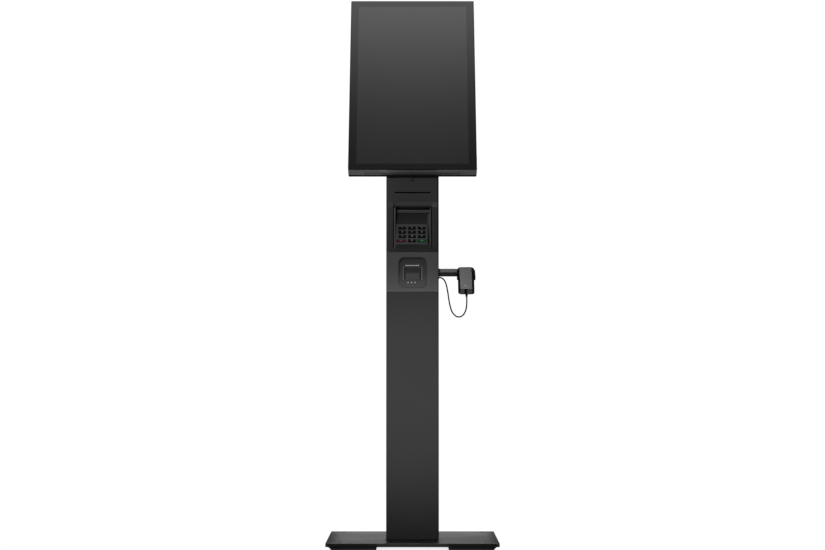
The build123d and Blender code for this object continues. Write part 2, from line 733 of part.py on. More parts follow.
def printer_body():
    """Open-topped tray with spindle stubs for the paper roll."""
    with BuildPart() as body:
        with BuildSketch(Plane.XY.offset(PRINTER_Z0)):
            with Locations((0, PRINTER_Y)):
                Rectangle(94, 104)
        extrude(amount=PRINTER_H)
        with BuildSketch(Plane.XY.offset(PRINTER_Z0 + 2.5)):
            with Locations((0, PRINTER_Y)):
                Rectangle(2 * PRINTER_HALF_IN, 98)
        extrude(amount=PRINTER_H, mode=Mode.SUBTRACT)
        # mouth in the front wall
        with BuildSketch(front(-68)):
            with Locations((0, SLOT_Z)):
                Rectangle(82, 5)
        extrude(amount=-8, mode=Mode.SUBTRACT)
        # platen bearings
        with BuildSketch(Plane.YZ):
            with Locations((PLATEN_Y, PLATEN_Z)):
                Circle(PLATEN_SHAFT_R + RUN)
        extrude(amount=60, both=True, mode=Mode.SUBTRACT)
        # spindle stubs, growing inwards from the right and left walls
        for side in (1, -1):
            with BuildSketch(Plane.YZ.offset(side * PRINTER_HALF_IN)):
                with Locations(PAPER_AXIS):
                    Circle(PAPER_CORE_R - RUN)
            extrude(amount=-side * 9)
        # side feet that bolt to the spine's flanges
        with BuildSketch(Plane.XY.offset(PRINTER_Z0)):
            with Locations((-54.2, 14), (54.2, 14)):
                Rectangle(14.4, 40)
        extrude(amount=3)
    return body.part


def print_head():
    with BuildPart() as head:
        with BuildSketch(Plane.YZ):
            with BuildLine():
                Polyline((-62, 939.2), (-46, 939.2), (-46, 952), (-52, 958), (-62, 958),
                         close=True)
            make_face()
        extrude(amount=42.5, both=True)
    return head.part


def platen_roller():
    with BuildPart() as roller:
        for radius, half_length in ((PLATEN_R, 41), (PLATEN_SHAFT_R, 50)):
            with BuildSketch(Plane.YZ):
                with Locations((PLATEN_Y, PLATEN_Z)):
                    Circle(radius)
            extrude(amount=half_length, both=True)
        # flat on the right end, so that the turning shows
        with BuildSketch(Plane.YZ.offset(47.5)):
            with Locations((PLATEN_Y + 2.6, PLATEN_Z)):
                Rectangle(2, 6)
        extrude(amount=4, mode=Mode.SUBTRACT)
    return roller.part


def paper_roll():
    with BuildPart() as roll:
        with BuildSketch(Plane.YZ):
            with Locations(PAPER_AXIS):
                Circle(PAPER_R)
                Circle(PAPER_CORE_R, mode=Mode.SUBTRACT)
        extrude(amount=39.9, both=True)
    return roll.part


# ===========================================================================
# POWER
# ===========================================================================
def power_supply():
    bottom, height = 120.0, 160.0
    width, depth, centre_y = 84.0, 44.0, 18.0
    middle = (0, bottom + height / 2)
    with BuildPart() as supply:
        with BuildSketch(Plane.XY.offset(bottom)):
            with Locations((0, centre_y)):
                RectangleRounded(width, depth, 3)
        extrude(amount=height)
        # grooves across the front face
        with BuildSketch(front(centre_y - depth / 2)):
            with Locations(middle):
                with GridLocations(1, 10, 1, 13):
                    SlotOverall(60, 3)
        extrude(amount=-2, mode=Mode.SUBTRACT)
        # mounting plate against the spine's web
        with BuildSketch(front(WEB_Y)):
            with Locations(middle):
                Rectangle(100, 140)
        extrude(amount=1.5)
    return supply.part


def mains_inlet():
    rear = front(YB + 1.6)
    with BuildPart() as inlet:
        with BuildSketch(rear):
            with Locations((0, INLET_Z)):
                RectangleRounded(56, 34, 3)
        extrude(amount=1.5)
        with BuildSketch(rear):
            with Locations((0, INLET_Z)):
                RectangleRounded(48, 28, 2)
        extrude(amount=24)
        # socket with three contacts
        with BuildSketch(rear):
            with Locations((-4, INLET_Z)):
                RectangleRounded(24, 16, 3)
        extrude(amount=14, mode=Mode.SUBTRACT)
        with BuildSketch(front(YB - 12)):
            with Locations((-4, INLET_Z + 3), (-10, INLET_Z - 2), (2, INLET_Z - 2)):
                Rectangle(2, 4)
        extrude(amount=-8)
    return inlet.part


# ===========================================================================
# TILT HINGE
# ===========================================================================
def tilt_bracket():
    """Plate on the spine's web with two arms that hold the tilt pin."""
    arm_t, arm_inner = 5.0, 39.0
    # (y, z) side profile of an arm
    arm = [(WEB_Y, 1036), (WEB_Y, 1096), (AXIS_Y + 8.2, AXIS_Z + 4), (AXIS_Y - 8.2, AXIS_Z - 4),
           (AXIS_Y + 4, 1090), (30, 1036)]
    with BuildPart() as bracket:
        with BuildSketch(front(WEB_Y)):
            with Locations((0, BRACKET_Z)):
                Rectangle(112, 62)
            with Locations(*BRACKET_HOLES):
                Circle(BRACKET_HOLE_R, mode=Mode.SUBTRACT)
        extrude(amount=4)
        for x_left in (arm_inner, -arm_inner - arm_t):
            with BuildSketch(Plane.YZ.offset(x_left)):
                with BuildLine():
                    Polyline(*arm, close=True)
                make_face()
                with Locations((AXIS_Y, AXIS_Z)):
                    Circle(9.0)
                    Circle(PIN_R, mode=Mode.SUBTRACT)
            extrude(amount=arm_t)
    return bracket.part


def tilt_pin():
    with BuildPart() as pin:
        with BuildSketch(Plane.YZ):
            with Locations((AXIS_Y, AXIS_Z)):
                Circle(PIN_R)
        extrude(amount=46.5, both=True)
        chamfer(pin.edges(), 0.6)
    return pin.part


def tilt_yoke():
    """Plate on the display's back with two arms that turn on the pin."""
    arm_t, arm_inner = 7.0, 30.0
    arm_root = -DISP_T - 3
    # side profile of an arm
    arm = [display_yz(AXIS_UP - 12, arm_root), display_yz(AXIS_UP + 9, arm_root),
           display_yz(AXIS_UP + 7.5, AXIS_OUT + 4), display_yz(AXIS_UP - 8.0, AXIS_OUT + 2)]
    with BuildPart() as yoke:
        with BuildSketch(YOKE_REAR):
            with Locations((0, AXIS_UP)):
                RectangleRounded(130, 130, 6)
            with Locations(*YOKE_SCREWS):
                Circle(2.2, mode=Mode.SUBTRACT)
        extrude(amount=YOKE_T)
        for x_left in (arm_inner, -arm_inner - arm_t):
            with BuildSketch(Plane.YZ.offset(x_left)):
                with BuildLine():
                    Polyline(*arm, close=True)
                make_face()
                with Locations((AXIS_Y, AXIS_Z)):
                    Circle(8.5)
            extrude(amount=arm_t)
        with BuildSketch(Plane.YZ):
            with Locations((AXIS_Y, AXIS_Z)):
                Circle(PIN_R + RUN)
        extrude(amount=60, both=True, mode=Mode.SUBTRACT)
    return yoke.part


def yoke_screws():
    head_h = 2.4
    with BuildPart() as screws:
        for radius, length in ((4.0, -head_h), (2.0, 8)):
            with BuildSketch(YOKE_REAR):
                with Locations(*YOKE_SCREWS):
                    Circle(radius)
            extrude(amount=length)
        with BuildSketch(YOKE_REAR.offset(-head_h)):
            with Locations(*YOKE_SCREWS):
                RegularPolygon(1.5, 6)
        extrude(amount=1.5, mode=Mode.SUBTRACT)
    return screws.part


# ===========================================================================
# DISPLAY
# ===========================================================================
CONNECTORS_UP = -215.0        # connector bank, up the display
SPEAKER_X = 98.0


def button_plane(x):
    """Plane facing +X at the power button; its local x runs up the display."""
    return Plane(origin=(x,) + display_yz(-236, -19.5), x_dir=(0, tilt_sin, tilt_cos),
                 z_dir=(1, 0, 0))


def cover_glass():
    with BuildPart() as glass:
        with BuildSketch(DISPLAY.offset(-GLASS_T)):
            RectangleRounded(DISP_W, DISP_L, 2.6)
        extrude(amount=GLASS_T)
        chamfer(glass.faces().sort_by(height_on(DISPLAY))[-1].edges(), 0.35)
    return glass.part


def display_frame():
    """Metal mid frame: outer wall plus the plate that carries the panel."""
    lower_edge = Plane(origin=(0,) + display_yz(-DISP_L / 2, -18.5), x_dir=(1, 0, 0),
                       z_dir=(0, -tilt_sin, -tilt_cos))
    with BuildPart() as frame:
        with BuildSketch(TRAY_FRONT):
            RectangleRounded(DISP_W - 0.6, DISP_L - 0.6, 2.4)
            RectangleRounded(DISP_W - 7, DISP_L - 7, 1.5, mode=Mode.SUBTRACT)
        extrude(amount=FRAME_T - GLASS_T)
        with BuildSketch(DISPLAY.offset(-14.5)):
            Rectangle(DISP_W - 6, DISP_L - 6)
            with Locations((0, 150), (0, -60)):
                RectangleRounded(220, 120, 10, mode=Mode.SUBTRACT)
        extrude(amount=2)
        # speaker slots in the lower wall
        with BuildSketch(lower_edge):
            with Locations((-SPEAKER_X, 0), (SPEAKER_X, 0)):
                with GridLocations(4.2, 1, 14, 1):
                    SlotOverall(7, 1.6, rotation=90)
        extrude(amount=12, both=True, mode=Mode.SUBTRACT)
        # power button hole in the right wall
        with BuildSketch(button_plane(DISP_W / 2)):
            SlotOverall(14.3, 5.3)
        extrude(amount=10, both=True, mode=Mode.SUBTRACT)
    return frame.part


def lcd_panel():
    body_t, body_front = 8.5, 3.0   # front: depth behind the outer glass face
    with BuildPart() as panel:
        with BuildSketch(DISPLAY.offset(-body_front - body_t)):
            Rectangle(312, 542)
        extrude(amount=body_t)
        with BuildSketch(DISPLAY.offset(-body_front)):
            Rectangle(ACTIVE_W, ACTIVE_L)
        extrude(amount=0.8)
    return panel.part


def display_back():
    """Rear tray with rounded rim, vents and a connector recess."""
    with BuildPart() as tray:
        with BuildSketch(TRAY_FRONT):
            RectangleRounded(DISP_W - 1.4, DISP_L - 1.4, 2.4)
        extrude(amount=-TRAY_T)
        fillet(tray.faces().sort_by(height_on(DISPLAY))[0].edges(), 1.2)
        with BuildSketch(TRAY_FRONT):
            RectangleRounded(DISP_W - 14, DISP_L - 8, 3)
        extrude(amount=-(TRAY_T - 2.4), mode=Mode.SUBTRACT)
        with BuildSketch(TRAY_FRONT):
            # two bands of vents
            with Locations((0, 205), (0, 90)):
                with GridLocations(9, 1, 22, 1):
                    SlotOverall(34, 3.2, rotation=90)
            with Locations(*YOKE_SCREWS):
                Circle(2.1)
            with Locations((0, CONNECTORS_UP)):
                RectangleRounded(120, 22, 3)
        extrude(amount=-12, mode=Mode.SUBTRACT)
    return tray.part


def mainboard():
    """Computer board behind the panel, with heat sink and connector bank."""
    board_rear = DISPLAY.offset(-17.5)
    sink = (-50, -90)
    block_t, bank_t = 4.0, 8.0
    with BuildPart() as board:
        with BuildSketch(board_rear):
            with Locations((0, -130)):
                Rectangle(230, 192)
        extrude(amount=1.6)
        # heat sink base and two smaller blocks, then the fins
        with BuildSketch(board_rear):
            with Locations(sink):
                Rectangle(70, 60)
            with Locations((60, -80), (60, -120)):
                Rectangle(66, 28)
        extrude(amount=-block_t)
        with BuildSketch(board_rear.offset(-block_t)):
            with Locations(sink):
                with GridLocations(6, 1, 11, 1):
                    Rectangle(2, 56)
        extrude(amount=-5)
        # connector bank facing the recess in the back
        with BuildSketch(board_rear):
            with Locations((0, CONNECTORS_UP)):
                RectangleRounded(118, 20, 2)
        extrude(amount=-bank_t)
        with BuildSketch(board_rear.offset(-bank_t)):
            with Locations(*[(x, CONNECTORS_UP) for x in (-46, -28, -10)]):
                Rectangle(13, 6)
            with Locations((12, CONNECTORS_UP), (34, CONNECTORS_UP)):
                Rectangle(15, 11)
            with Locations((50, CONNECTORS_UP)):
                Circle(3)
        extrude(amount=6, mode=Mode.SUBTRACT)
    return board.part


def speakers():
    rear = DISPLAY.offset(-24.5)
    centres = ((-SPEAKER_X, -262), (SPEAKER_X, -262))
    with BuildPart() as pair:
        with BuildSketch(rear):
            with Locations(*centres):
                RectangleRounded(64, 26, 3)
        extrude(amount=9.5)
        with BuildSketch(rear):
            with Locations(*centres):
                SlotOverall(50, 16)
        extrude(amount=2, mode=Mode.SUBTRACT)
    return pair.part


def power_button():
    with BuildPart() as button:
        with BuildSketch(button_plane(DISP_W / 2 - 6.5)):
            SlotOverall(14.0, 5.0)
        extrude(amount=7.3)
        fillet(button.faces().sort_by(Axis.X)[-1].edges(), 0.5)
    return button.part


# ===========================================================================
# SIDE ARM, CRADLE AND HAND SCANNER
# ===========================================================================
def side_arm():
    root = Plane.YZ.offset(ARM_X0)
    with BuildPart() as arm:
        # wall flange
        with BuildSketch(root):
            with Locations((ARM_Y, 727.0)):
                RectangleRounded(38, 20, 3)
        extrude(amount=3)
        # upper bar and the slimmer bar below it
        with BuildSketch(root):
            with Locations((ARM_Y, 731.6)):
                RectangleRounded(26, 10.4, 2)
            with Locations((ARM_Y + 2, 722.0)):
                RectangleRounded(18, 10.2, 2)
        extrude(amount=ARM_X1 - ARM_X0)
        # bolt stems into the module's wall
        with BuildSketch(root):
            with Locations(*ARM_BOLTS):
                Circle(3.0)
        extrude(amount=-9)
    return arm.part


def cradle():
    """Back plate behind the scanner, two cheeks at its sides and the arm's socket."""
    # (across, up) in the handset's plane
    back_plate = [(-23.9, 38.0), (22.1, 38.0), (22.1, 49.0), (20.9, 61.0), (20.9, 65.0),
                  (-23.9, 65.0)]
    right_cheek = [(20.9, 38.0), (21.5, 38.0), (22.1, 40.5), (22.1, 49.0), (21.2, 58.0),
                   (20.9, 58.0)]
    with BuildPart() as holder:
        with BuildSketch(HAND_BACK.offset(-5.0)):
            with BuildLine():
                Polyline(*back_plate, close=True)
            make_face()
            fillet(vertices(), 1.5)
        extrude(amount=4.4)
        # left cheek
        with BuildSketch(HAND_BACK.offset(-3)):
            with Locations((-(HAND_W / 2 + 1.9), 51.5)):
                RectangleRounded(2.6, 27, 1)
        extrude(amount=21.5)
        with BuildSketch(HAND_BACK.offset(-3)):
            with BuildLine():
                Polyline(*right_cheek, close=True)
            make_face()
        extrude(amount=14)
        # socket that takes the arm's end
        with BuildSketch(Plane.YZ.offset(ARM_X1)):
            with Locations((ARM_Y + 0.5, 726.4)):
                RectangleRounded(21, 19, 3)
        extrude(amount=26)
    return holder.part


def handset_core():
    half_w = HAND_W / 2
    # (across, up) in the handset's plane
    body = [(-half_w + 1.4, 0), (half_w, 0), (half_w - 1.1, HAND_H), (-half_w, HAND_H)]
    face_seat = [(-12.9, 13.0), (18.9, 13.0), (16.6, HAND_H - 1.6), (-16.6, HAND_H - 1.6)]
    with BuildPart() as core:
        with BuildSketch(HAND_BACK):
            with BuildLine():
                Polyline(*body, close=True)
            make_face()
            fillet(vertices(), 6)
        extrude(amount=HAND_D)
        fillet(core.faces().sort_by(height_on(HANDSET))[0].edges(), 3)
        fillet(core.faces().sort_by(height_on(HANDSET))[-1].edges(), 2)
        # seat of the face plate
        with BuildSketch(HAND_FRONT):
            with BuildLine():
                Polyline(*face_seat, close=True)
            make_face()
        extrude(amount=-FACE_SEAT, mode=Mode.SUBTRACT)
        # seat of the lower cap
        with BuildSketch(HAND_FRONT):
            with Locations(HAND_CAP):
                RectangleRounded(32.2, 12.2, 2)
        extrude(amount=-CAP_SEAT, mode=Mode.SUBTRACT)
        # well of the scan button
        with BuildSketch(HAND_FRONT):
            with Locations(HAND_BUTTON):
                Circle(4.5)
        extrude(amount=-6.0, mode=Mode.SUBTRACT)
        # window opening in the top end
        with BuildSketch(Plane.XY.offset(HAND_Z + HAND_H)):
            with Locations(HAND_AXIS):
                RectangleRounded(28, 12, 2)
        extrude(amount=-3.0, mode=Mode.SUBTRACT)
        # cable boot at the lower end
        with BuildSketch(Plane.XY.offset(HAND_Z + 0.5)):
            with Locations((HAND_X + 1.0, HAND_Y)):
                Circle(3.6)
        extrude(amount=-7.0, taper=8)
        # boot carried up over the front of the lower cap
        with BuildSketch(HAND_FRONT.offset(-2.5)):
            with Locations((1.6, 6.4)):
                RectangleRounded(7.0, 12.6, 2.4)
        extrude(amount=4.2)
    return core.part


def handset_face():
    """Face plate, narrower on its left at the bottom, with a hole for the scan button."""
    outline = [(-12.7, 13.2), (18.7, 13.2), (16.4, HAND_H - 1.8), (-16.4, HAND_H - 1.8)]
    with BuildPart() as face:
        with BuildSketch(HAND_FRONT.offset(-FACE_SEAT)):
            with BuildLine():
                Polyline(*outline, close=True)
            make_face()
            with Locations(HAND_BUTTON):
                Circle(4.5, mode=Mode.SUBTRACT)
        extrude(amount=2.8)
        chamfer(face.faces().sort_by(height_on(HANDSET))[-1].outer_wire().edges(), 0.6)
    return face.part


def handset_cap():
    """Ribbed lower cap, cut out around the cable boot."""
    proud = 0.3
    with BuildPart() as cap:
        with BuildSketch(HAND_FRONT.offset(-CAP_SEAT)):
            with Locations(HAND_CAP):
                RectangleRounded(31.8, 11.8, 1.8)
            with Locations((1.6, 5.9)):
                RectangleRounded(7.6, 14.2, 2.7, mode=Mode.SUBTRACT)
        extrude(amount=CAP_SEAT + proud)
        with BuildSketch(HAND_FRONT.offset(proud)):
            with Locations(HAND_CAP):
                with GridLocations(1, 2.6, 1, 4):
                    Rectangle(24, 0.9)
        extrude(amount=-0.6, mode=Mode.SUBTRACT)
    return cap.part


def scan_lens():
    with BuildPart() as lens:
        with BuildSketch(Plane.XY.offset(HAND_Z + HAND_H - 0.4)):
            with Locations(HAND_AXIS):
                RectangleRounded(27.6, 11.6, 1.8)
        extrude(amount=-2.6)
    return lens.part


def scan_button():
    with BuildPart() as button:
        with BuildSketch(HAND_FRONT.offset(-4.2)):
            with Locations(HAND_BUTTON):
                Circle(4.2)
        extrude(amount=5.6)
        fillet(button.faces().sort_by(height_on(HANDSET))[-1].edges(), 0.8)
    return button.part


def cable_grommet():
    """Sleeve through the right wall with a collar outside it."""
    with BuildPart() as grommet:
        for x, radius, length in ((COL_W / 2 - 4.5, 3.5, 5.5), (COL_W / 2, 4.0, 1.2)):
            with BuildSketch(Plane.YZ.offset(x)):
                with Locations((CABLE_Y, CABLE_Z)):
                    Circle(radius)
                    Circle(CABLE_R + 0.1, mode=Mode.SUBTRACT)
            extrude(amount=length)
    return grommet.part


def handset_cable():
    """Looped cable of the hand scanner."""
    start_x, loop_z, boot_x = 66.0, 608.6, 143.3
    # (x, z) corners of the cable's run, from the column to the handset
    run = [(start_x, CABLE_Z), (86.5, CABLE_Z), (97.0, 645.0), (102.5, loop_z),
           (boot_x, loop_z), (boot_x, 661.2)]
    with BuildPart() as cable:
        with BuildLine(front(CABLE_Y)):
            FilletPolyline(*run, radius=16.5)
        with BuildSketch(Plane(origin=(start_x, CABLE_Y, CABLE_Z), z_dir=(1, 0, 0))):
            Circle(CABLE_R)
        sweep()
    return cable.part


# ===========================================================================
# EXPORT
# ===========================================================================
def save(part, label):
    part.label = label
    export_step(part, f"parts/{label}.step")


# each piece takes the name of the function that builds it
PIECES = (
    base_plate, ballast_runners, rubber_pads, levelling_screws,
    foot_bolts, column_spine,
    lower_cover, rear_cover, cover_screws, module_cover, head_shell,
    scanner_dish, scan_window, scan_lights, scan_engine,
    head_door, door_pins, paper_chute, door_lock,
    terminal_housing, terminal_display, card_reader,
    printer_body, print_head, platen_roller, paper_roll,
    power_supply, mains_inlet,
    tilt_bracket, tilt_pin, tilt_yoke, yoke_screws,
    cover_glass, display_frame, lcd_panel, display_back, mainboard, speakers, power_button,
    side_arm, cradle,
    handset_core, handset_face, handset_cap, scan_lens, scan_button,
    cable_grommet, handset_cable,
)
for build in PIECES:
    save(build(), build.__name__)
for name, across, up, width in KEYS:
    save(terminal_key(across, up, width), name)
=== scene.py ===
"""Looks for a self-service stand: a base plate with rubber feet, a column, a head with a payment
terminal, a tilted display above it, and a hand scanner on a looped cable at its side.

Metres, +Z up. The stand is upright on the floor around x = 0; its front faces -Y and the camera,
and +X is to the right as seen from the front.
"""
import bpy
import bmesh
import math
from mathutils import Vector, Matrix

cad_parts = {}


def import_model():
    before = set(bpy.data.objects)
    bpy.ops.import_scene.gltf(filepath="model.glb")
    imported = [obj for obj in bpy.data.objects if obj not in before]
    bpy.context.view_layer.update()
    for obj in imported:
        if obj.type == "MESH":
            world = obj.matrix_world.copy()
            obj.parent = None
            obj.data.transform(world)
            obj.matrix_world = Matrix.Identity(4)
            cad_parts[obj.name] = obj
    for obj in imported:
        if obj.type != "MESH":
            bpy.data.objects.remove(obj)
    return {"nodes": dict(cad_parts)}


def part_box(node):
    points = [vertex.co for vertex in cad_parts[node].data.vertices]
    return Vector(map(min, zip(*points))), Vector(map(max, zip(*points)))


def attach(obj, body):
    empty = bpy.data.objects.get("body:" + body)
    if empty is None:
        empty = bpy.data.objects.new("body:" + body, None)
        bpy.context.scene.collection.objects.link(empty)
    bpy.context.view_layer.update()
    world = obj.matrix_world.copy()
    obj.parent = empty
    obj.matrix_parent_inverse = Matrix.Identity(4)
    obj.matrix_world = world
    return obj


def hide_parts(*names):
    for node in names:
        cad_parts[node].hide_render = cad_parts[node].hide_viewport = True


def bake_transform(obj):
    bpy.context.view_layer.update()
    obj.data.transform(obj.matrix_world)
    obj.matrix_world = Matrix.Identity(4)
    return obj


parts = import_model()["nodes"]
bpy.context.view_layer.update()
scene = bpy.context.scene

DISPLAY_TILT = math.radians(29.0)   # display face, leaning back from upright
KEYPAD_TILT = math.radians(26.0)    # key tops, leaning back from upright


def tilted_axes(tilt):
    """Up-the-face and out-of-the-face directions of a front face leaning back by tilt."""
    return (Vector((0, math.sin(tilt), math.cos(tilt))),
            Vector((0, -math.cos(tilt), math.sin(tilt))))


DISPLAY_UP, DISPLAY_OUT = tilted_axes(DISPLAY_TILT)
KEY_UP, KEY_OUT = tilted_axes(KEYPAD_TILT)

GLASS_THICKNESS = 0.002
GLASS_LOW, GLASS_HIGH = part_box("cover_glass")


# ---------------------------------------------------------------------------
# shader graphs
# ---------------------------------------------------------------------------
class Graph:
    """A node tree with short calls for the nodes used here."""

    def __init__(self, tree):
        self.tree = tree
        self.tree.nodes.clear()

    def link(self, source, target):
        self.tree.links.new(source, target)

    def feed(self, socket, value):
        """Link a socket, or set a colour, vector or number."""
        if isinstance(value, bpy.types.NodeSocket):
            self.link(value, socket)
        elif isinstance(value, (tuple, list)):
            socket.default_value = (*value, 1.0)[:len(socket.default_value)]
        else:
            socket.default_value = float(value)

    def node(self, kind, inputs=None, **properties):
        node = self.tree.nodes.new(kind)
        for key, value in properties.items():
            setattr(node, key, value)
        for key, value in (inputs or {}).items():
            self.feed(node.inputs[key], value)
        return node

    def math(self, operation, *values, clamp=False):
        inputs = dict(enumerate(values))
        return self.node("ShaderNodeMath", inputs, operation=operation, use_clamp=clamp).outputs[0]

    def multiply(self, a, b, clamp=False):
        return self.math("MULTIPLY", a, b, clamp=clamp)

    def linear(self, value, slope, offset, clamp=False):
        return self.math("MULTIPLY_ADD", value, slope, offset, clamp=clamp)

    def split(self, vector):
        return self.node("ShaderNodeSeparateXYZ", {0: vector}).outputs

    def ramp(self, factor, stops):
        """Grey ramp; stops are (position, value)."""
        node = self.node("ShaderNodeValToRGB", {0: factor})
        elements = node.color_ramp.elements
        elements.remove(elements[0])
        elements[0].position = stops[0][0]
        for i, (position, value) in enumerate(stops):
            element = elements[0] if i == 0 else elements.new(position)
            element.color = (value, value, value, 1.0)
        return node.outputs[0]

    def mix_shader(self, factor, first, second):
        return self.node("ShaderNodeMixShader", {0: factor, 1: first, 2: second}).outputs[0]


class Material(Graph):
    """A Principled material patterned in object coordinates."""

    def __init__(self, name):
        self.material = bpy.data.materials.new(name)
        self.material.use_nodes = True
        super().__init__(self.material.node_tree)
        self.out = self.node("ShaderNodeOutputMaterial")
        self.shader = self.node("ShaderNodeBsdfPrincipled")
        self.link(self.shader.outputs[0], self.out.inputs[0])
        self.coordinates = self.node("ShaderNodeTexCoord").outputs["Object"]

    def set(self, key, value):
        self.feed(self.shader.inputs[key], value)

    def xyz(self):
        return self.split(self.coordinates)

    def noise(self, scale, detail, rough, stretch=None):
        source = self.coordinates
        if stretch:
            source = self.node("ShaderNodeMapping", {"Scale": stretch, "Vector": source}).outputs[0]
        inputs = {"Scale": scale, "Detail": detail, "Roughness": rough, "Vector": source}
        return self.node("ShaderNodeTexNoise", inputs).outputs["Fac"]

    def mix(self, factor, first, second):
        inputs = {0: factor, 6: first, 7: second}
        return self.node("ShaderNodeMix", inputs, data_type="RGBA").outputs[2]

    def scale_colour(self, colour, factor):
        inputs = {0: colour, "Scale": factor}
        return self.node("ShaderNodeVectorMath", inputs, operation="SCALE").outputs[0]

    def bevel(self, radius):
        return self.node("ShaderNodeBevel", {"Radius": radius}, samples=4).outputs[0]

    def bump(self, height, strength, distance, radius):
        """Bump the surface, over rounded edges where radius is above zero."""
        inputs = {"Strength": strength, "Distance": distance, "Height": height}
        if radius > 0:
            inputs["Normal"] = self.bevel(radius)
        self.set("Normal", self.node("ShaderNodeBump", inputs).outputs[0])

    # masks: 1 where the words hold, 0 elsewhere; slope sets how fast a fade runs
    def absolute(self, value):
        return self.math("ABSOLUTE", value)

    def below(self, value, limit):
        return self.math("LESS_THAN", value, limit)

    def above(self, value, limit):
        return self.math("GREATER_THAN", value, limit)

    def within(self, value, half):
        return self.below(self.absolute(value), limit=half)

    def near(self, value, middle, half):
        return self.within(self.math("SUBTRACT", value, middle), half)

    def fade_below(self, value, limit, slope):
        return self.linear(value, -slope, slope * limit, clamp=True)

    def fade_above(self, value, limit, slope):
        return self.linear(value, slope, -slope * limit, clamp=True)

    def base_colour(self):
        return self.shader.inputs["Base Color"].links[0].from_socket

    def region(self, mask, colour):
        """Blend the base colour towards another tone where mask is 1."""
        self.set("Base Color", self.mix(mask, self.base_colour(), colour))


def grey(value, blue=None):
    return (value, value, value if blue is None else blue)


def give(material, *targets):
    """Make material the only one on each part name or object."""
    for target in targets:
        piece = parts[target] if isinstance(target, str) else target
        piece.data.materials.clear()
        piece.data.materials.append(material.material)


def finish(name, colour, rough=0.5, tone=0.08, grain=1400.0, bump=0.25, depth=0.00006, metal=0.0,
           spec=0.5, wear_and_highlight=0.12, radius=0.0006, coat=0.0, stretch=None, speck=0.0, sheen=0.0):
    """Painted, moulded, rubbery or metal finish with broad tone drift and fine grain.

    tone: colour variation; grain: noise scale, with its stretch; bump, depth: relief;
    wear_and_highlight: lightening along edges, partly real edge wear and partly painted edge
    highlight; radius: edge rounding; speck: amount of light dots.
    """
    rough_drift = 0.07
    m = Material(name)
    broad = m.noise(scale=9.0, detail=4, rough=0.55)
    fine = m.noise(scale=grain, detail=2, rough=0.6, stretch=stretch)
    medium = m.noise(scale=grain * 0.16, detail=3, rough=0.6, stretch=stretch)
    broad_tone = m.linear(broad, slope=2 * tone, offset=1.0 - tone)
    fine_tone = m.linear(fine, slope=1.2 * tone, offset=1.0 - 0.6 * tone)
    shade = m.scale_colour(colour, m.multiply(broad_tone, fine_tone))
    if wear_and_highlight > 0:
        # edges lightened: partly real edge wear, partly painted edge highlight
        normal = m.node("ShaderNodeNewGeometry").outputs["Normal"]
        facing = m.node("ShaderNodeVectorMath", {0: m.bevel(radius * 1.6), 1: normal},
                        operation="DOT_PRODUCT")
        worn_and_lit = m.math("SUBTRACT", 1.0, facing.outputs["Value"], clamp=True)
        worn_and_lit = m.multiply(worn_and_lit, m.linear(medium, slope=5.0, offset=1.5), clamp=True)
        worn_and_lit_colour = [min(1.0, c * 1.9 + 0.015) for c in colour]
        shade = m.mix(m.multiply(worn_and_lit, wear_and_highlight, clamp=True), shade, worn_and_lit_colour)
    if speck > 0:
        dots = m.ramp(m.noise(scale=grain * 0.5, detail=1, rough=0.5),
                      [(0.0, 0.0), (0.70, 0.0), (0.78, 1.0)])
        dot_colour = [min(1, c * 2.5 + 0.02) for c in colour]
        shade = m.mix(m.multiply(dots, speck), shade, dot_colour)
    m.set("Base Color", shade)
    broad_rough = m.linear(broad, slope=2 * rough_drift, offset=rough - rough_drift)
    medium_rough = m.linear(medium, slope=rough_drift, offset=-0.5 * rough_drift)
    m.set("Roughness", m.math("ADD", broad_rough, medium_rough))
    m.set("Metallic", metal)
    m.set("Specular IOR Level", spec)
    if coat:
        m.set("Coat Weight", coat)
        m.set("Coat Roughness", 0.15)
    if sheen:
        m.set("Sheen Weight", sheen)
        m.set("Sheen Roughness", 0.4)
    height = m.math("MULTIPLY_ADD", medium, 0.5, fine)
    m.bump(height, strength=bump, distance=depth, radius=radius)
    return m


POWDER = dict(rough=0.52, tone=0.07, grain=1500, bump=0.35, depth=0.00007, wear_and_highlight=0.25,
              radius=0.0007)
BRUSHED = dict(rough=0.32, tone=0.12, grain=260, bump=0.2, depth=0.00003, wear_and_highlight=0.15,
               radius=0.0005, metal=1.0, stretch=(1, 1, 30))


def powder(name, value, **changes):
    """Powder coat, very slightly blue."""
    return finish(name, grey(value, blue=value * 1.01), **{**POWDER, **changes})


def brushed(name, value, **changes):
    return finish(name, grey(value), **{**BRUSHED, **changes})


# ---------------------------------------------------------------------------
# powder-coated metal
# ---------------------------------------------------------------------------
def plate_powder():
    """Glossy plate; painted light on its front and side faces, stronger in the middle, and painted
    highlights at the rounded corners.
    """
    m = powder("plate_powder", 0.016, rough=0.36, grain=1100, bump=0.4, depth=0.00009, speck=0.05)
    x, _, z = m.xyz()
    # front and side faces: painted lighter tone for the light they catch
    edge = m.below(z, limit=0.0206)
    # painted bounce light on the middle of the front face
    middle = m.fade_below(m.absolute(x), limit=0.0960, slope=120.0)
    m.region(edge, grey(0.030))
    m.region(m.multiply(edge, middle), grey(0.092))
    # painted highlight on the rounded corners
    corner_highlight = m.fade_above(m.absolute(x), limit=0.2170, slope=260.0)
    m.region(m.multiply(edge, corner_highlight), grey(0.150))
    return m


def paint_side_light_and_shade(m):
    """Head and door: painted light towards the left, painted shade on the right-hand bend."""
    # painted light towards the left
    m.region(m.fade_below(m.xyz()[0], limit=-0.030, slope=22.0), grey(0.040))
    # painted shade on the right-hand bend
    m.region(m.fade_above(m.xyz()[0], limit=0.0654, slope=900.0), grey(0.005))


def head_powder():
    m = powder("head_powder", 0.030, rough=0.50)
    # painted light on the strip just below the display's overhang
    m.region(m.below(m.xyz()[2], limit=0.9862), grey(0.120))
    paint_side_light_and_shade(m)
    return m


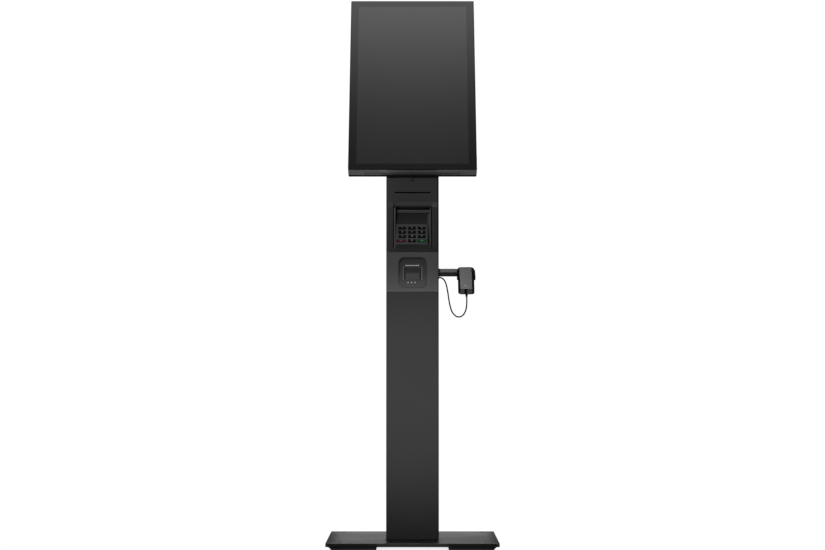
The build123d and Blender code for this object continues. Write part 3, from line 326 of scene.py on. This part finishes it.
def door_powder():
    """Painted light in a band starting at z = 0.8988 and fading upwards; painted shade on the low
    edge.
    """
    m = powder("door_powder", 0.030, rough=0.48)
    z = m.xyz()[2]
    # painted light in a band above the bay, fading upwards
    hood_band_light = m.fade_below(z, limit=0.9150, slope=120.0)
    m.region(m.multiply(hood_band_light, m.above(z, limit=0.8988)), grey(0.062, blue=0.063))
    # painted shade on the low edge
    m.region(m.below(z, limit=0.7895), grey(0.023))
    paint_side_light_and_shade(m)
    return m


def arm_paint():
    """Painted shade on the underside."""
    m = powder("arm_paint", 0.168, rough=0.38, radius=0.0008)
    # painted shade on the underside
    m.region(m.fade_below(m.xyz()[2], limit=0.7268, slope=2600.0), grey(0.024))
    return m


give(plate_powder(), "base_plate")
give(powder("runner_powder", 0.030, rough=0.5), "ballast_runners")
give(powder("column_powder", 0.043, rough=0.50, spec=0.4), "lower_cover")
give(powder("rear_powder", 0.045, rough=0.52), "rear_cover")
give(head_powder(), "head_shell")
give(door_powder(), "head_door")
give(powder("spine_black", 0.018, rough=0.45), "column_spine")
give(powder("bracket_black", 0.022, rough=0.42), "tilt_bracket", "tilt_yoke")
give(arm_paint(), "side_arm")


# ---------------------------------------------------------------------------
# shaded plastics and rubber
# ---------------------------------------------------------------------------
def module_plastic():
    """Scanner module: painted light, slightly stronger downwards, and a thin painted highlight line
    near its bottom.
    """
    m = finish("module_plastic", grey(0.079, blue=0.081), rough=0.56, tone=0.06, grain=1900,
               bump=0.3, depth=0.00005, wear_and_highlight=0.3, radius=0.0008)
    z = m.xyz()[2]
    # painted highlight line along the bottom edge
    line = m.multiply(m.fade_below(z, limit=0.6772, slope=900.0), m.above(z, limit=0.6748))
    # painted light, stronger downwards
    m.region(m.fade_below(z, limit=0.742, slope=15.0), grey(0.100, blue=0.102))
    m.region(line, grey(0.145, blue=0.148))
    return m


def dish_plastic():
    """Painted shade from the top rim, so lighter downwards, with a dark upright band on either
    side.
    """
    m = finish("dish_plastic", grey(0.045, blue=0.046), rough=0.50, tone=0.05, grain=1900,
               bump=0.3, depth=0.00005, wear_and_highlight=0.25, radius=0.0009)
    x, _, z = m.xyz()
    # painted shade from the top rim, lifting towards the bottom
    m.region(m.fade_below(z, limit=0.733, slope=24.0), grey(0.078, blue=0.079))
    band = m.near(m.absolute(x), middle=0.0218, half=0.0012)
    band = m.multiply(band, m.near(z, middle=0.7225, half=0.0170))
    m.region(band, grey(0.012))
    return m


def terminal_plastic():
    m = finish("terminal_plastic", grey(0.062, blue=0.064), rough=0.47, tone=0.06, grain=2300,
               bump=0.3, depth=0.00004, wear_and_highlight=0.25, radius=0.0007)
    x, y, z = m.xyz()
    # painted light lifting the shaded recess above the ledge
    above_ledge = m.multiply(m.fade_above(z, limit=0.8907, slope=2500.0), m.within(x, half=0.0450))
    m.region(above_ledge, grey(0.090))
    # painted shade in the line under the ledge
    shade_under_ledge = m.multiply(m.near(z, middle=0.8853, half=0.0003), m.within(x, half=0.0452))
    m.region(shade_under_ledge, grey(0.006))
    # painted shade toning down the ledge's lit front
    ledge_front = m.multiply(m.near(z, middle=0.8882, half=0.0025), m.below(y, limit=-0.0412))
    m.region(ledge_front, grey(0.044, blue=0.045))
    # painted highlight on the side rails
    side_rail_highlight = m.multiply(m.above(m.absolute(x), limit=0.0452), m.below(y, limit=-0.0455))
    m.region(side_rail_highlight, grey(0.085, blue=0.087))
    return m


def pad_rubber():
    """Feet, with painted light from the floor, stronger towards it."""
    m = finish("pad_rubber", grey(0.150), rough=0.78, tone=0.12, grain=900, bump=0.6,
               depth=0.00015, wear_and_highlight=0.2, radius=0.0009, speck=0.12)
    # painted light from the floor, stronger towards it
    m.region(m.linear(m.xyz()[2], slope=-420.0, offset=1.35, clamp=True), grey(0.20))
    return m


give(module_plastic(), "module_cover")
give(dish_plastic(), "scanner_dish")
give(terminal_plastic(), "terminal_housing")
give(pad_rubber(), "rubber_pads")

PLAIN_FINISHES = [
    ("paper_chute", "chute_plastic", grey(0.003), dict(rough=0.7, wear_and_highlight=0.0, spec=0.2)),
    ("card_reader", "reader_plastic", grey(0.023),
     dict(rough=0.42, grain=1800, wear_and_highlight=0.35, radius=0.0005)),
    ("printer_body", "printer_plastic", grey(0.05, blue=0.052), dict(rough=0.5)),
    ("display_back", "display_back_plastic", grey(0.011, blue=0.0115),
     dict(rough=0.62, spec=0.12, tone=0.08, grain=1700, bump=0.45, depth=0.00008, wear_and_highlight=0.2)),
    ("cradle", "cradle_soft", grey(0.006, blue=0.0065),
     dict(rough=0.62, spec=0.25, wear_and_highlight=0.15, radius=0.0008)),
    ("handset_core", "bumper_soft", grey(0.004, blue=0.0045),
     dict(rough=0.60, spec=0.25, grain=1600, wear_and_highlight=0.12, radius=0.0008)),
    ("handset_face", "handset_grey", grey(0.228, blue=0.231),
     dict(rough=0.46, tone=0.07, grain=2100, bump=0.35, depth=0.00005, wear_and_highlight=0.3, radius=0.0007)),
    ("handset_cap", "handset_cap_plastic", grey(0.068, blue=0.070),
     dict(rough=0.5, grain=1900, wear_and_highlight=0.3, radius=0.0005)),
    ("cable_grommet", "grommet_rubber", grey(0.010), dict(rough=0.7, sheen=0.1)),
    ("scan_button", "button_silicone", grey(0.34, blue=0.345),
     dict(rough=0.5, grain=1500, wear_and_highlight=0.2)),
    ("speakers", "speaker_plastic", grey(0.02), dict(rough=0.6)),
    ("power_button", "power_button_plastic", grey(0.05, blue=0.052), dict(rough=0.35, wear_and_highlight=0.3)),
    ("mainboard", "board_mask", (0.012, 0.07, 0.03),
     dict(rough=0.35, tone=0.25, grain=500, wear_and_highlight=0.1, coat=0.3)),
    ("mains_inlet", "inlet_plastic", grey(0.015), dict(rough=0.35, wear_and_highlight=0.3)),
    ("lcd_panel", "panel_film", grey(0.010, blue=0.011), dict(rough=0.3, tone=0.1)),
    ("paper_roll", "thermal_paper", grey(0.80, blue=0.78),
     dict(rough=0.7, tone=0.03, grain=900, bump=0.2, wear_and_highlight=0.0)),
    ("platen_roller", "platen_rubber", grey(0.02), dict(rough=0.55, grain=900, wear_and_highlight=0.1)),
    ("key_cancel", "key_cancel_rubber", (0.050, 0.003, 0.010),
     dict(rough=0.42, grain=1700, wear_and_highlight=0.2, radius=0.0006)),
    ("key_enter", "key_enter_rubber", (0.003, 0.045, 0.010),
     dict(rough=0.42, grain=1700, wear_and_highlight=0.2, radius=0.0006)),
]
DIGIT_KEYS = ["key_%d" % digit for digit in range(10)]
PLAIN_FINISHES += [
    (key, key + "_rubber", grey(0.003),
     dict(rough=0.50, grain=1700, wear_and_highlight=0.0, radius=0.0006, spec=0.25))
    for key in DIGIT_KEYS]

for part, material_name, colour, settings in PLAIN_FINISHES:
    give(finish(material_name, colour, **settings), part)


# ---------------------------------------------------------------------------
# bare and anodised metal
# ---------------------------------------------------------------------------
def frame_anodised():
    """Display frame; below z = 1.01 its underside carries a painted reflection across its width,
    dark where the column stands below, and, where the head stands behind it, painted shade from
    front to back."""
    frame_width = 0.34
    front_y, front_z = 0.0044, 1.2415   # a point on the plane that depth is measured from
    shade_start = 0.002                 # depth where the front-to-back shading starts
    shade_depth = 0.0234                # depth over which it runs
    # painted light lifting the underside's painted reflection and shade
    painted_light_gain = 4.0                          # overall lift of the shaded underside
    m = brushed("frame_anodised", 0.11, rough=0.40, stretch=(0.6, 24, 24), metal=0.35, grain=120)
    x, y, z = m.xyz()
    across = m.linear(x, slope=1.0 / frame_width, offset=0.5)
    # painted reflection across the width: lighter at the left, dark in the middle where the column
    # stands below
    reflection_across = m.ramp(across, [
        (0.0, 0.56), (0.25, 0.60), (0.30, 0.60), (0.42, 0.54), (0.50, 0.50), (0.64, 0.52),
        (0.70, 0.44), (0.84, 0.42), (0.95, 0.50), (1.0, 0.50)])
    outward = m.math("ADD",
                     m.multiply(m.math("SUBTRACT", y, front_y), -math.cos(DISPLAY_TILT)),
                     m.multiply(m.math("SUBTRACT", z, front_z), math.sin(DISPLAY_TILT)))
    depth = m.linear(outward, slope=-1.0 / shade_depth, offset=-shade_start / shade_depth,
                     clamp=True)
    # painted shade from front to back
    shade_front_to_back = m.ramp(depth, [(0.0, 1.0), (0.30, 0.90), (0.55, 0.58), (0.80, 0.36), (1.0, 0.24)])
    # where the head stands behind, the painted shade applies in full
    head_shade_mask = m.ramp(across, [
        (0.0, 0.0), (0.22, 0.05), (0.31, 1.0), (0.69, 1.0), (0.74, 0.75), (0.85, 0.35),
        (0.95, 0.0)])
    tone = m.multiply(reflection_across, m.mix(head_shade_mask, grey(0.5), shade_front_to_back))
    tone = m.multiply(tone, painted_light_gain)
    underside = m.below(z, limit=1.0100)
    tone = m.math("ADD", m.multiply(tone, underside), m.math("SUBTRACT", 1.0, underside))
    m.set("Base Color", m.scale_colour(m.base_colour(), tone))
    # the painted reflection and shade also scale the specular level
    m.set("Specular IOR Level", m.multiply(tone, 0.5))
    return m


give(frame_anodised(), "display_frame")
give(brushed("screws_black", 0.10, rough=0.35),
     "cover_screws", "yoke_screws", "levelling_screws", "foot_bolts")
give(brushed("ground_steel", 0.5, rough=0.25, stretch=(1, 1, 1)), "tilt_pin", "door_pins")
give(brushed("lock_black", 0.012, rough=0.35, stretch=(1, 1, 1), metal=0.3), "door_lock")
give(brushed("alu_case", 0.42, rough=0.4), "power_supply", "print_head")
give(brushed("engine_black", 0.03, rough=0.25, metal=0.2), "scan_engine")


# ---------------------------------------------------------------------------
# glass and light pipes
# ---------------------------------------------------------------------------
def screen_glass():
    """Cover glass: black printed border, unlit clear area, painted shade along the rim as a weaker
    reflection, and faint smudges.
    """
    clear_half_width, clear_half_length = 0.14825, 0.2635
    clear_drop = 0.0006                 # clear area sits this far below the glass's middle
    rim = 0.0024                        # width of the darker outline
    middle = (GLASS_LOW + GLASS_HIGH) / 2
    width = GLASS_HIGH.x - GLASS_LOW.x
    sine, cosine = math.sin(DISPLAY_TILT), math.cos(DISPLAY_TILT)
    length = (GLASS_HIGH.z - GLASS_LOW.z - GLASS_THICKNESS * sine) / cosine
    m = Material("screen_glass")
    x, y, z = m.xyz()
    along = m.math("ADD", m.multiply(m.math("SUBTRACT", y, middle.y), sine),
                   m.multiply(m.math("SUBTRACT", z, middle.z), cosine))
    outside_x = m.math("SUBTRACT", m.absolute(x), clear_half_width)
    outside_along = m.math("SUBTRACT", m.absolute(m.math("ADD", along, clear_drop)),
                           clear_half_length)
    outside = m.math("MAXIMUM", outside_x, outside_along)
    clear = m.linear(outside, slope=-2500.0, offset=0.5, clamp=True)
    drift = m.noise(scale=5.0, detail=2, rough=0.5)
    clear_tone = m.linear(drift, slope=0.0024, offset=0.0094)
    border_tone = m.linear(drift, slope=0.0006, offset=0.0012)
    tone = m.math("ADD", m.multiply(clear_tone, clear),
                  m.multiply(border_tone, m.math("SUBTRACT", 1.0, clear)))
    m.set("Base Color", m.node("ShaderNodeCombineColor", {0: tone, 1: tone, 2: tone}).outputs[0])
    rim_x = m.math("SUBTRACT", m.absolute(x), width / 2 - rim)
    rim_along = m.math("SUBTRACT", m.absolute(along), length / 2 - rim)
    # painted shade along the rim: weaker reflection there
    rim_shade = m.linear(m.math("MAXIMUM", rim_x, rim_along), slope=1400.0, offset=0.5, clamp=True)
    specular = m.linear(clear, slope=0.16, offset=0.5)
    m.set("Specular IOR Level", m.multiply(specular, m.linear(rim_shade, slope=-0.42, offset=1.0)))
    smudge = m.ramp(m.noise(scale=14.0, detail=5, rough=0.62),
                    [(0.0, 0.0), (0.52, 0.0), (0.75, 1.0)])
    hair = m.noise(scale=320.0, detail=2, rough=0.5)
    smudge_rough = m.linear(smudge, slope=0.030, offset=0.030)
    m.set("Roughness", m.math("ADD", smudge_rough, m.multiply(hair, 0.012)))
    m.set("IOR", 1.5)
    m.bump(hair, strength=0.03, distance=0.00002, radius=0.0006)
    return m


def dark_glass(name, colour, rough, alpha=1.0):
    m = Material(name)
    mottle = m.noise(scale=60.0, detail=4, rough=0.6)
    m.set("Base Color", m.mix(mottle, colour, [c * 1.6 for c in colour]))
    m.set("Roughness", m.linear(mottle, slope=0.05, offset=rough))
    m.set("IOR", 1.5)
    m.set("Alpha", alpha)
    return m


def scanner_glass():
    """Smoked window with painted light on its lower middle, where the dish's rim casts no shade."""
    m = dark_glass("scanner_glass", grey(0.028, blue=0.029), rough=0.22, alpha=0.80)
    x, _, z = m.xyz()
    low = m.fade_below(z, limit=0.7268, slope=160.0)
    central = m.fade_below(m.absolute(x), limit=0.0192, slope=500.0)
    # painted light on the lower middle of the window
    m.region(m.multiply(low, central), grey(0.085, blue=0.086))
    return m


def light_pipe():
    """The lamp row near the dish's top glows most, the low dots less, the rest not at all."""
    m = Material("light_pipe")
    x, _, z = m.xyz()
    mottle = m.noise(scale=900.0, detail=2, rough=0.5)
    sides = m.above(m.absolute(x), limit=0.0212)
    pipe = m.mix(mottle, grey(0.42, blue=0.43), grey(0.55, blue=0.56))
    m.set("Base Color", m.mix(sides, pipe, grey(0.25, blue=0.255)))
    m.set("Roughness", 0.35)
    lamp_row = m.multiply(m.above(z, limit=0.7410), m.below(z, limit=0.7475))
    low_dots = m.below(z, limit=0.7025)
    lamp_glow, dot_glow = 0.19, 0.04
    glow = m.math("ADD", m.multiply(lamp_row, lamp_glow), m.multiply(low_dots, dot_glow))
    m.set("Emission Color", grey(1))
    m.set("Emission Strength", glow)
    return m


give(screen_glass(), "cover_glass")
give(dark_glass("terminal_glass", grey(0.016, blue=0.017), rough=0.30), "terminal_display")
give(scanner_glass(), "scan_window")
give(dark_glass("lens_red", (0.05, 0.006, 0.006), rough=0.05), "scan_lens")
give(light_pipe(), "scan_lights")


# ---------------------------------------------------------------------------
# key legends: raised digits, a cross and a ring
# ---------------------------------------------------------------------------
LEGEND_THICKNESS = 0.00012   # extrusion to either side of the lettering's plane
LEGEND_BOLD = 0.00018        # outline grown by this much
LEGEND_LIFT = 0.00004        # lettering's plane above the key top
LEGEND_RAISE = 0.0007        # lettering's centre above the key's, along the key face


def ink(name, colour, rough=0.5):
    return finish(name, colour, rough=rough, wear_and_highlight=0.0, radius=0.0, bump=0.1)


def legend(key, text, size, material):
    curve = bpy.data.curves.new("legend_" + key, "FONT")
    curve.body = text
    curve.size = size
    curve.align_x = "CENTER"
    curve.align_y = "CENTER"
    curve.extrude = LEGEND_THICKNESS
    curve.offset = LEGEND_BOLD
    curve.resolution_u = 6
    text_object = bpy.data.objects.new("legend_tmp", curve)
    scene.collection.objects.link(text_object)
    bpy.context.view_layer.update()
    depsgraph = bpy.context.evaluated_depsgraph_get()
    mesh = bpy.data.meshes.new_from_object(text_object.evaluated_get(depsgraph))
    bpy.data.objects.remove(text_object)
    piece = bpy.data.objects.new("legend_" + key, mesh)
    scene.collection.objects.link(piece)

    node = parts[key]
    key_top = max((node.matrix_world @ vertex.co).dot(KEY_OUT) for vertex in node.data.vertices)
    low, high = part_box(key)
    place = (low + high) / 2
    place += KEY_OUT * (key_top - place.dot(KEY_OUT) + LEGEND_LIFT) + KEY_UP * LEGEND_RAISE
    turn = Matrix((Vector((1, 0, 0)), KEY_UP, KEY_OUT)).transposed().to_4x4()
    piece.matrix_world = Matrix.Translation(place) @ turn
    give(material, piece)
    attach(piece, key + "_cap")


digit_ink = ink("legend_ink", grey(0.30))
for key in DIGIT_KEYS:
    legend(key, key[-1], size=0.0062, material=digit_ink)
legend("key_cancel", "×", size=0.0075, material=ink("legend_ink_red", (0.42, 0.16, 0.16)))
legend("key_enter", "o", size=0.0078, material=ink("legend_ink_green", (0.16, 0.42, 0.20)))


# ---------------------------------------------------------------------------
# mesh helpers
# ---------------------------------------------------------------------------
def mesh_piece(name, vertices, faces, smooth=True):
    mesh = bpy.data.meshes.new(name)
    mesh.from_pydata([tuple(v) for v in vertices], [], faces)
    mesh.update()
    bm = bmesh.new()
    bm.from_mesh(mesh)
    bmesh.ops.recalc_face_normals(bm, faces=bm.faces)
    bm.to_mesh(mesh)
    bm.free()
    for polygon in mesh.polygons:
        polygon.use_smooth = smooth
    piece = bpy.data.objects.new(name, mesh)
    scene.collection.objects.link(piece)
    return piece


def tube(name, points, radius, sides):
    """Capped round tube along points, its rings carried along without twist."""
    last = len(points) - 1
    vertices, faces = [], []
    tangent = (points[1] - points[0]).normalized()
    normal = tangent.cross(Vector((0, 1, 0))).normalized()
    for i, point in enumerate(points):
        direction = (points[min(i + 1, last)] - points[max(i - 1, 0)]).normalized()
        normal = (tangent.rotation_difference(direction) @ normal).normalized()
        tangent = direction
        binormal = tangent.cross(normal)
        for k in range(sides):
            angle = 2 * math.pi * k / sides
            spoke = normal * math.cos(angle) + binormal * math.sin(angle)
            vertices.append(point + spoke * radius)
    for i in range(last):
        for k in range(sides):
            a = i * sides + k
            b = i * sides + (k + 1) % sides
            faces.append((a, b, b + sides, a + sides))
    faces.append(tuple(range(sides))[::-1])
    faces.append(tuple(range(last * sides, (last + 1) * sides)))
    return mesh_piece(name, vertices, faces)


def catmull_rom(stations, steps):
    """Smooth curve through the stations, with steps points to a span."""
    c = [Vector(p) for p in stations]
    c = [c[0] * 2 - c[1]] + c + [c[-1] * 2 - c[-2]]
    curve = []
    for p0, p1, p2, p3 in zip(c, c[1:], c[2:], c[3:]):
        for step in range(steps):
            t = step / steps
            curve.append(0.5 * ((2 * p1) + (p2 - p0) * t
                                + (2 * p0 - 5 * p1 + 4 * p2 - p3) * t * t
                                + (3 * p1 - p0 - 3 * p2 + p3) * t ** 3))
    curve.append(c[-2])
    return curve


# ---------------------------------------------------------------------------
# hand scanner cable: loop hanging from the module to the scanner's boot
# ---------------------------------------------------------------------------
CABLE_RADIUS = 0.00185
# x, distance in front of the cable's middle plane, z
CABLE_STATIONS = [
    (0.0660, 0.0000, 0.7125), (0.0725, 0.0000, 0.7124), (0.0786, 0.0000, 0.7106),
    (0.0839, 0.0003, 0.7058), (0.0876, 0.0006, 0.6990), (0.0906, 0.0010, 0.6890),
    (0.0938, 0.0014, 0.6720), (0.0964, 0.0018, 0.6540), (0.0993, 0.0020, 0.6386),
    (0.1040, 0.0022, 0.6232), (0.1104, 0.0022, 0.6140), (0.1174, 0.0020, 0.6087),
    (0.1250, 0.0018, 0.6080), (0.1322, 0.0014, 0.6112), (0.1380, 0.0010, 0.6182),
    (0.1421, 0.0006, 0.6290), (0.1438, 0.0003, 0.6420), (0.1440, 0.0000, 0.6560),
    (0.1433, 0.0003, 0.6640),
]


def handset_cable():
    low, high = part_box("handset_cable")
    cable_y = (low.y + high.y) / 2
    path = catmull_rom([(x, cable_y - forward, z) for x, forward, z in CABLE_STATIONS], steps=10)
    cable = tube("handset_cable_loop", path, CABLE_RADIUS, sides=18)
    give(finish("cable_jacket", grey(0.010), rough=0.42, grain=1300, bump=0.2, wear_and_highlight=0.0,
                radius=0.0), cable)
    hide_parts("handset_cable")
    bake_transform(cable)


handset_cable()


# ---------------------------------------------------------------------------
# small plain oval printed low on the glass border
# ---------------------------------------------------------------------------
def border_dot():
    sides = 40
    centre_x, half_width, half_height = -0.0026, 0.0034, 0.0020
    rise = 0.0105            # centre above the glass's lower edge, along the glass
    lift = 0.00012           # in front of the glass
    thickness = 0.0001
    lower_edge = Vector((0, GLASS_LOW.y,
                         GLASS_LOW.z + GLASS_THICKNESS * math.sin(DISPLAY_TILT)))
    centre = lower_edge + DISPLAY_UP * rise + DISPLAY_OUT * lift
    front = []
    for i in range(sides):
        angle = 2 * math.pi * i / sides
        front.append(centre + Vector((centre_x + half_width * math.cos(angle), 0, 0))
                     + DISPLAY_UP * half_height * math.sin(angle))
    back = [point - DISPLAY_OUT * thickness for point in front]
    faces = [tuple(range(sides)), tuple(range(2 * sides - 1, sides - 1, -1))]
    faces += [(i, (i + 1) % sides, sides + (i + 1) % sides, sides + i) for i in range(sides)]
    dot = mesh_piece("border_dot", front + back, faces, smooth=False)
    give(ink("dot_ink", grey(0.40, blue=0.41), rough=0.45), dot)
    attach(dot, "display")


border_dot()


# ---------------------------------------------------------------------------
# floor
# ---------------------------------------------------------------------------
BACKDROP_LEVEL = 1.02   # brightness the camera sees on the floor and the background


def floor_pale():
    """Matt floor that the camera sees as an even glow, with a painted contact shadow close to the
    stand.
    """
    m = Material("floor_pale")
    m.set("Base Color", m.mix(m.noise(scale=2.0, detail=3, rough=0.5), grey(0.38), grey(0.40)))
    m.set("Roughness", 0.85)
    openness = m.node("ShaderNodeAmbientOcclusion", {"Distance": 0.03}, samples=8).outputs["AO"]
    # painted contact shadow close to the stand
    painted_contact_shadow = m.ramp(openness, [(0.0, 0.72), (0.35, 0.985), (1.0, 1.0)])
    glow = m.node("ShaderNodeEmission", {"Color": painted_contact_shadow, "Strength": BACKDROP_LEVEL})
    camera_ray = m.node("ShaderNodeLightPath").outputs["Is Camera Ray"]
    m.link(m.mix_shader(camera_ray, m.shader.outputs[0], glow.outputs[0]), m.out.inputs[0])
    return m


FLOOR_HALF, FLOOR_Z = 9, -0.0004
floor = mesh_piece("floor",
                   [(x * FLOOR_HALF, y * FLOOR_HALF, FLOOR_Z)
                    for x, y in ((-1, -1), (1, -1), (1, 1), (-1, 1))],
                   [(0, 1, 2, 3)], smooth=False)
give(floor_pale(), floor)

# ---------------------------------------------------------------------------
# world
# ---------------------------------------------------------------------------
SOFTBOX_STRENGTH = 3.2
# direction's z, brightness: overhead softbox that fades out towards the horizon
SOFTBOX = [
    (0.0, 0.10), (0.45, 0.16), (0.80, 0.16), (0.880, 0.14), (0.8965, 0.29), (0.8985, 0.33),
    (0.9014, 0.40), (0.9053, 0.477), (0.9092, 0.646), (0.9131, 0.84), (0.9170, 1.11),
    (0.9210, 1.41), (0.9249, 1.71), (0.9278, 1.99), (0.9400, 2.4), (0.9600, 2.6),
]


def studio_world():
    """Separate surroundings for glossy rays, for matt surfaces and for the camera."""
    world = bpy.data.worlds.new("studio")
    scene.world = world
    world.use_nodes = True
    g = Graph(world.node_tree)

    def background(colour, strength):
        return g.node("ShaderNodeBackground", {"Color": colour, "Strength": strength}).outputs[0]

    output = g.node("ShaderNodeOutputWorld")
    _, y, z = g.split(g.node("ShaderNodeTexCoord").outputs["Generated"])
    rays = g.node("ShaderNodeLightPath").outputs
    height = g.node("ShaderNodeMapRange", {"From Min": 0.0, "From Max": 1.0, "Value": z})
    softbox = g.ramp(height.outputs[0], [(p, level / SOFTBOX_STRENGTH) for p, level in SOFTBOX])
    # soft fill from the front and above, little from the sides and behind
    fill = g.math("ADD", g.linear(y, slope=-0.50, offset=0.02, clamp=True),
                  g.linear(z, slope=0.25, offset=0.06, clamp=True))
    lighting = g.mix_shader(rays["Is Glossy Ray"], background(fill, strength=0.34),
                            background(softbox, strength=SOFTBOX_STRENGTH))
    seen = background(grey(1), strength=BACKDROP_LEVEL)
    g.link(g.mix_shader(rays["Is Camera Ray"], lighting, seen), output.inputs[0])


studio_world()


# ---------------------------------------------------------------------------
# lights
# ---------------------------------------------------------------------------
def place_light(light, location, target):
    lamp = bpy.data.objects.new(light.name, light)
    scene.collection.objects.link(lamp)
    lamp.location = location
    direction = (Vector(target) - Vector(location)).normalized()
    lamp.rotation_euler = direction.to_track_quat("-Z", "Y").to_euler()
    lamp.visible_camera = False
    return lamp


def pool(name, location, target, radius, power):
    """Soft round pool of light of the given radius around the target, without highlights."""
    light = bpy.data.lights.new(name, "SPOT")
    light.energy = power
    light.spot_size = 2 * math.atan(radius / (Vector(target) - Vector(location)).length)
    light.spot_blend = 1.0
    light.shadow_soft_size = 0.12
    place_light(light, location, target).visible_glossy = False


def card(name, location, target, width, height, power):
    """Rectangular light that shows only in reflections."""
    light = bpy.data.lights.new(name, "AREA")
    light.energy = power
    light.shape = "RECTANGLE"
    light.size = width
    light.size_y = height
    place_light(light, location, target).visible_diffuse = False


pool("pool_column", location=(-0.35, -3.4, 0.75), target=(0, -0.088, 0.42), radius=0.43, power=440)
pool("pool_head", location=(-0.5, -3.2, 1.35), target=(0, -0.088, 1.06), radius=0.35, power=290)
# low card behind the plate, for its glossy top
card("card_back", location=(0.0, 0.75, 0.11), target=(0, -0.1, 0.03), width=0.47, height=0.20,
     power=0.185)
# card lying behind the stand, for the underside of the display's frame
card("card_floor", location=(-0.10, 0.40, 0.01), target=(-0.10, 0.40, 1.0), width=0.80,
     height=0.55, power=1.3)

# ---------------------------------------------------------------------------
# camera and render settings
# ---------------------------------------------------------------------------
CAMERA_PITCH = 2.616   # degrees above level

camera_data = bpy.data.cameras.new("camera")
camera_data.sensor_width = 36.0
camera_data.sensor_fit = "HORIZONTAL"
camera_data.lens = 89.76
camera_data.clip_start = 0.05
camera_data.clip_end = 60
camera = bpy.data.objects.new("camera", camera_data)
scene.collection.objects.link(camera)
camera.location = (0.0, -5.523, 0.470)
camera.rotation_euler = (math.radians(90 + CAMERA_PITCH), 0, 0)
scene.camera = camera

scene.view_settings.view_transform = "Standard"
scene.view_settings.look = "None"
scene.view_settings.exposure = 0.0
scene.view_settings.gamma = 1.0
scene.cycles.max_bounces = 8
scene.cycles.use_denoising = True
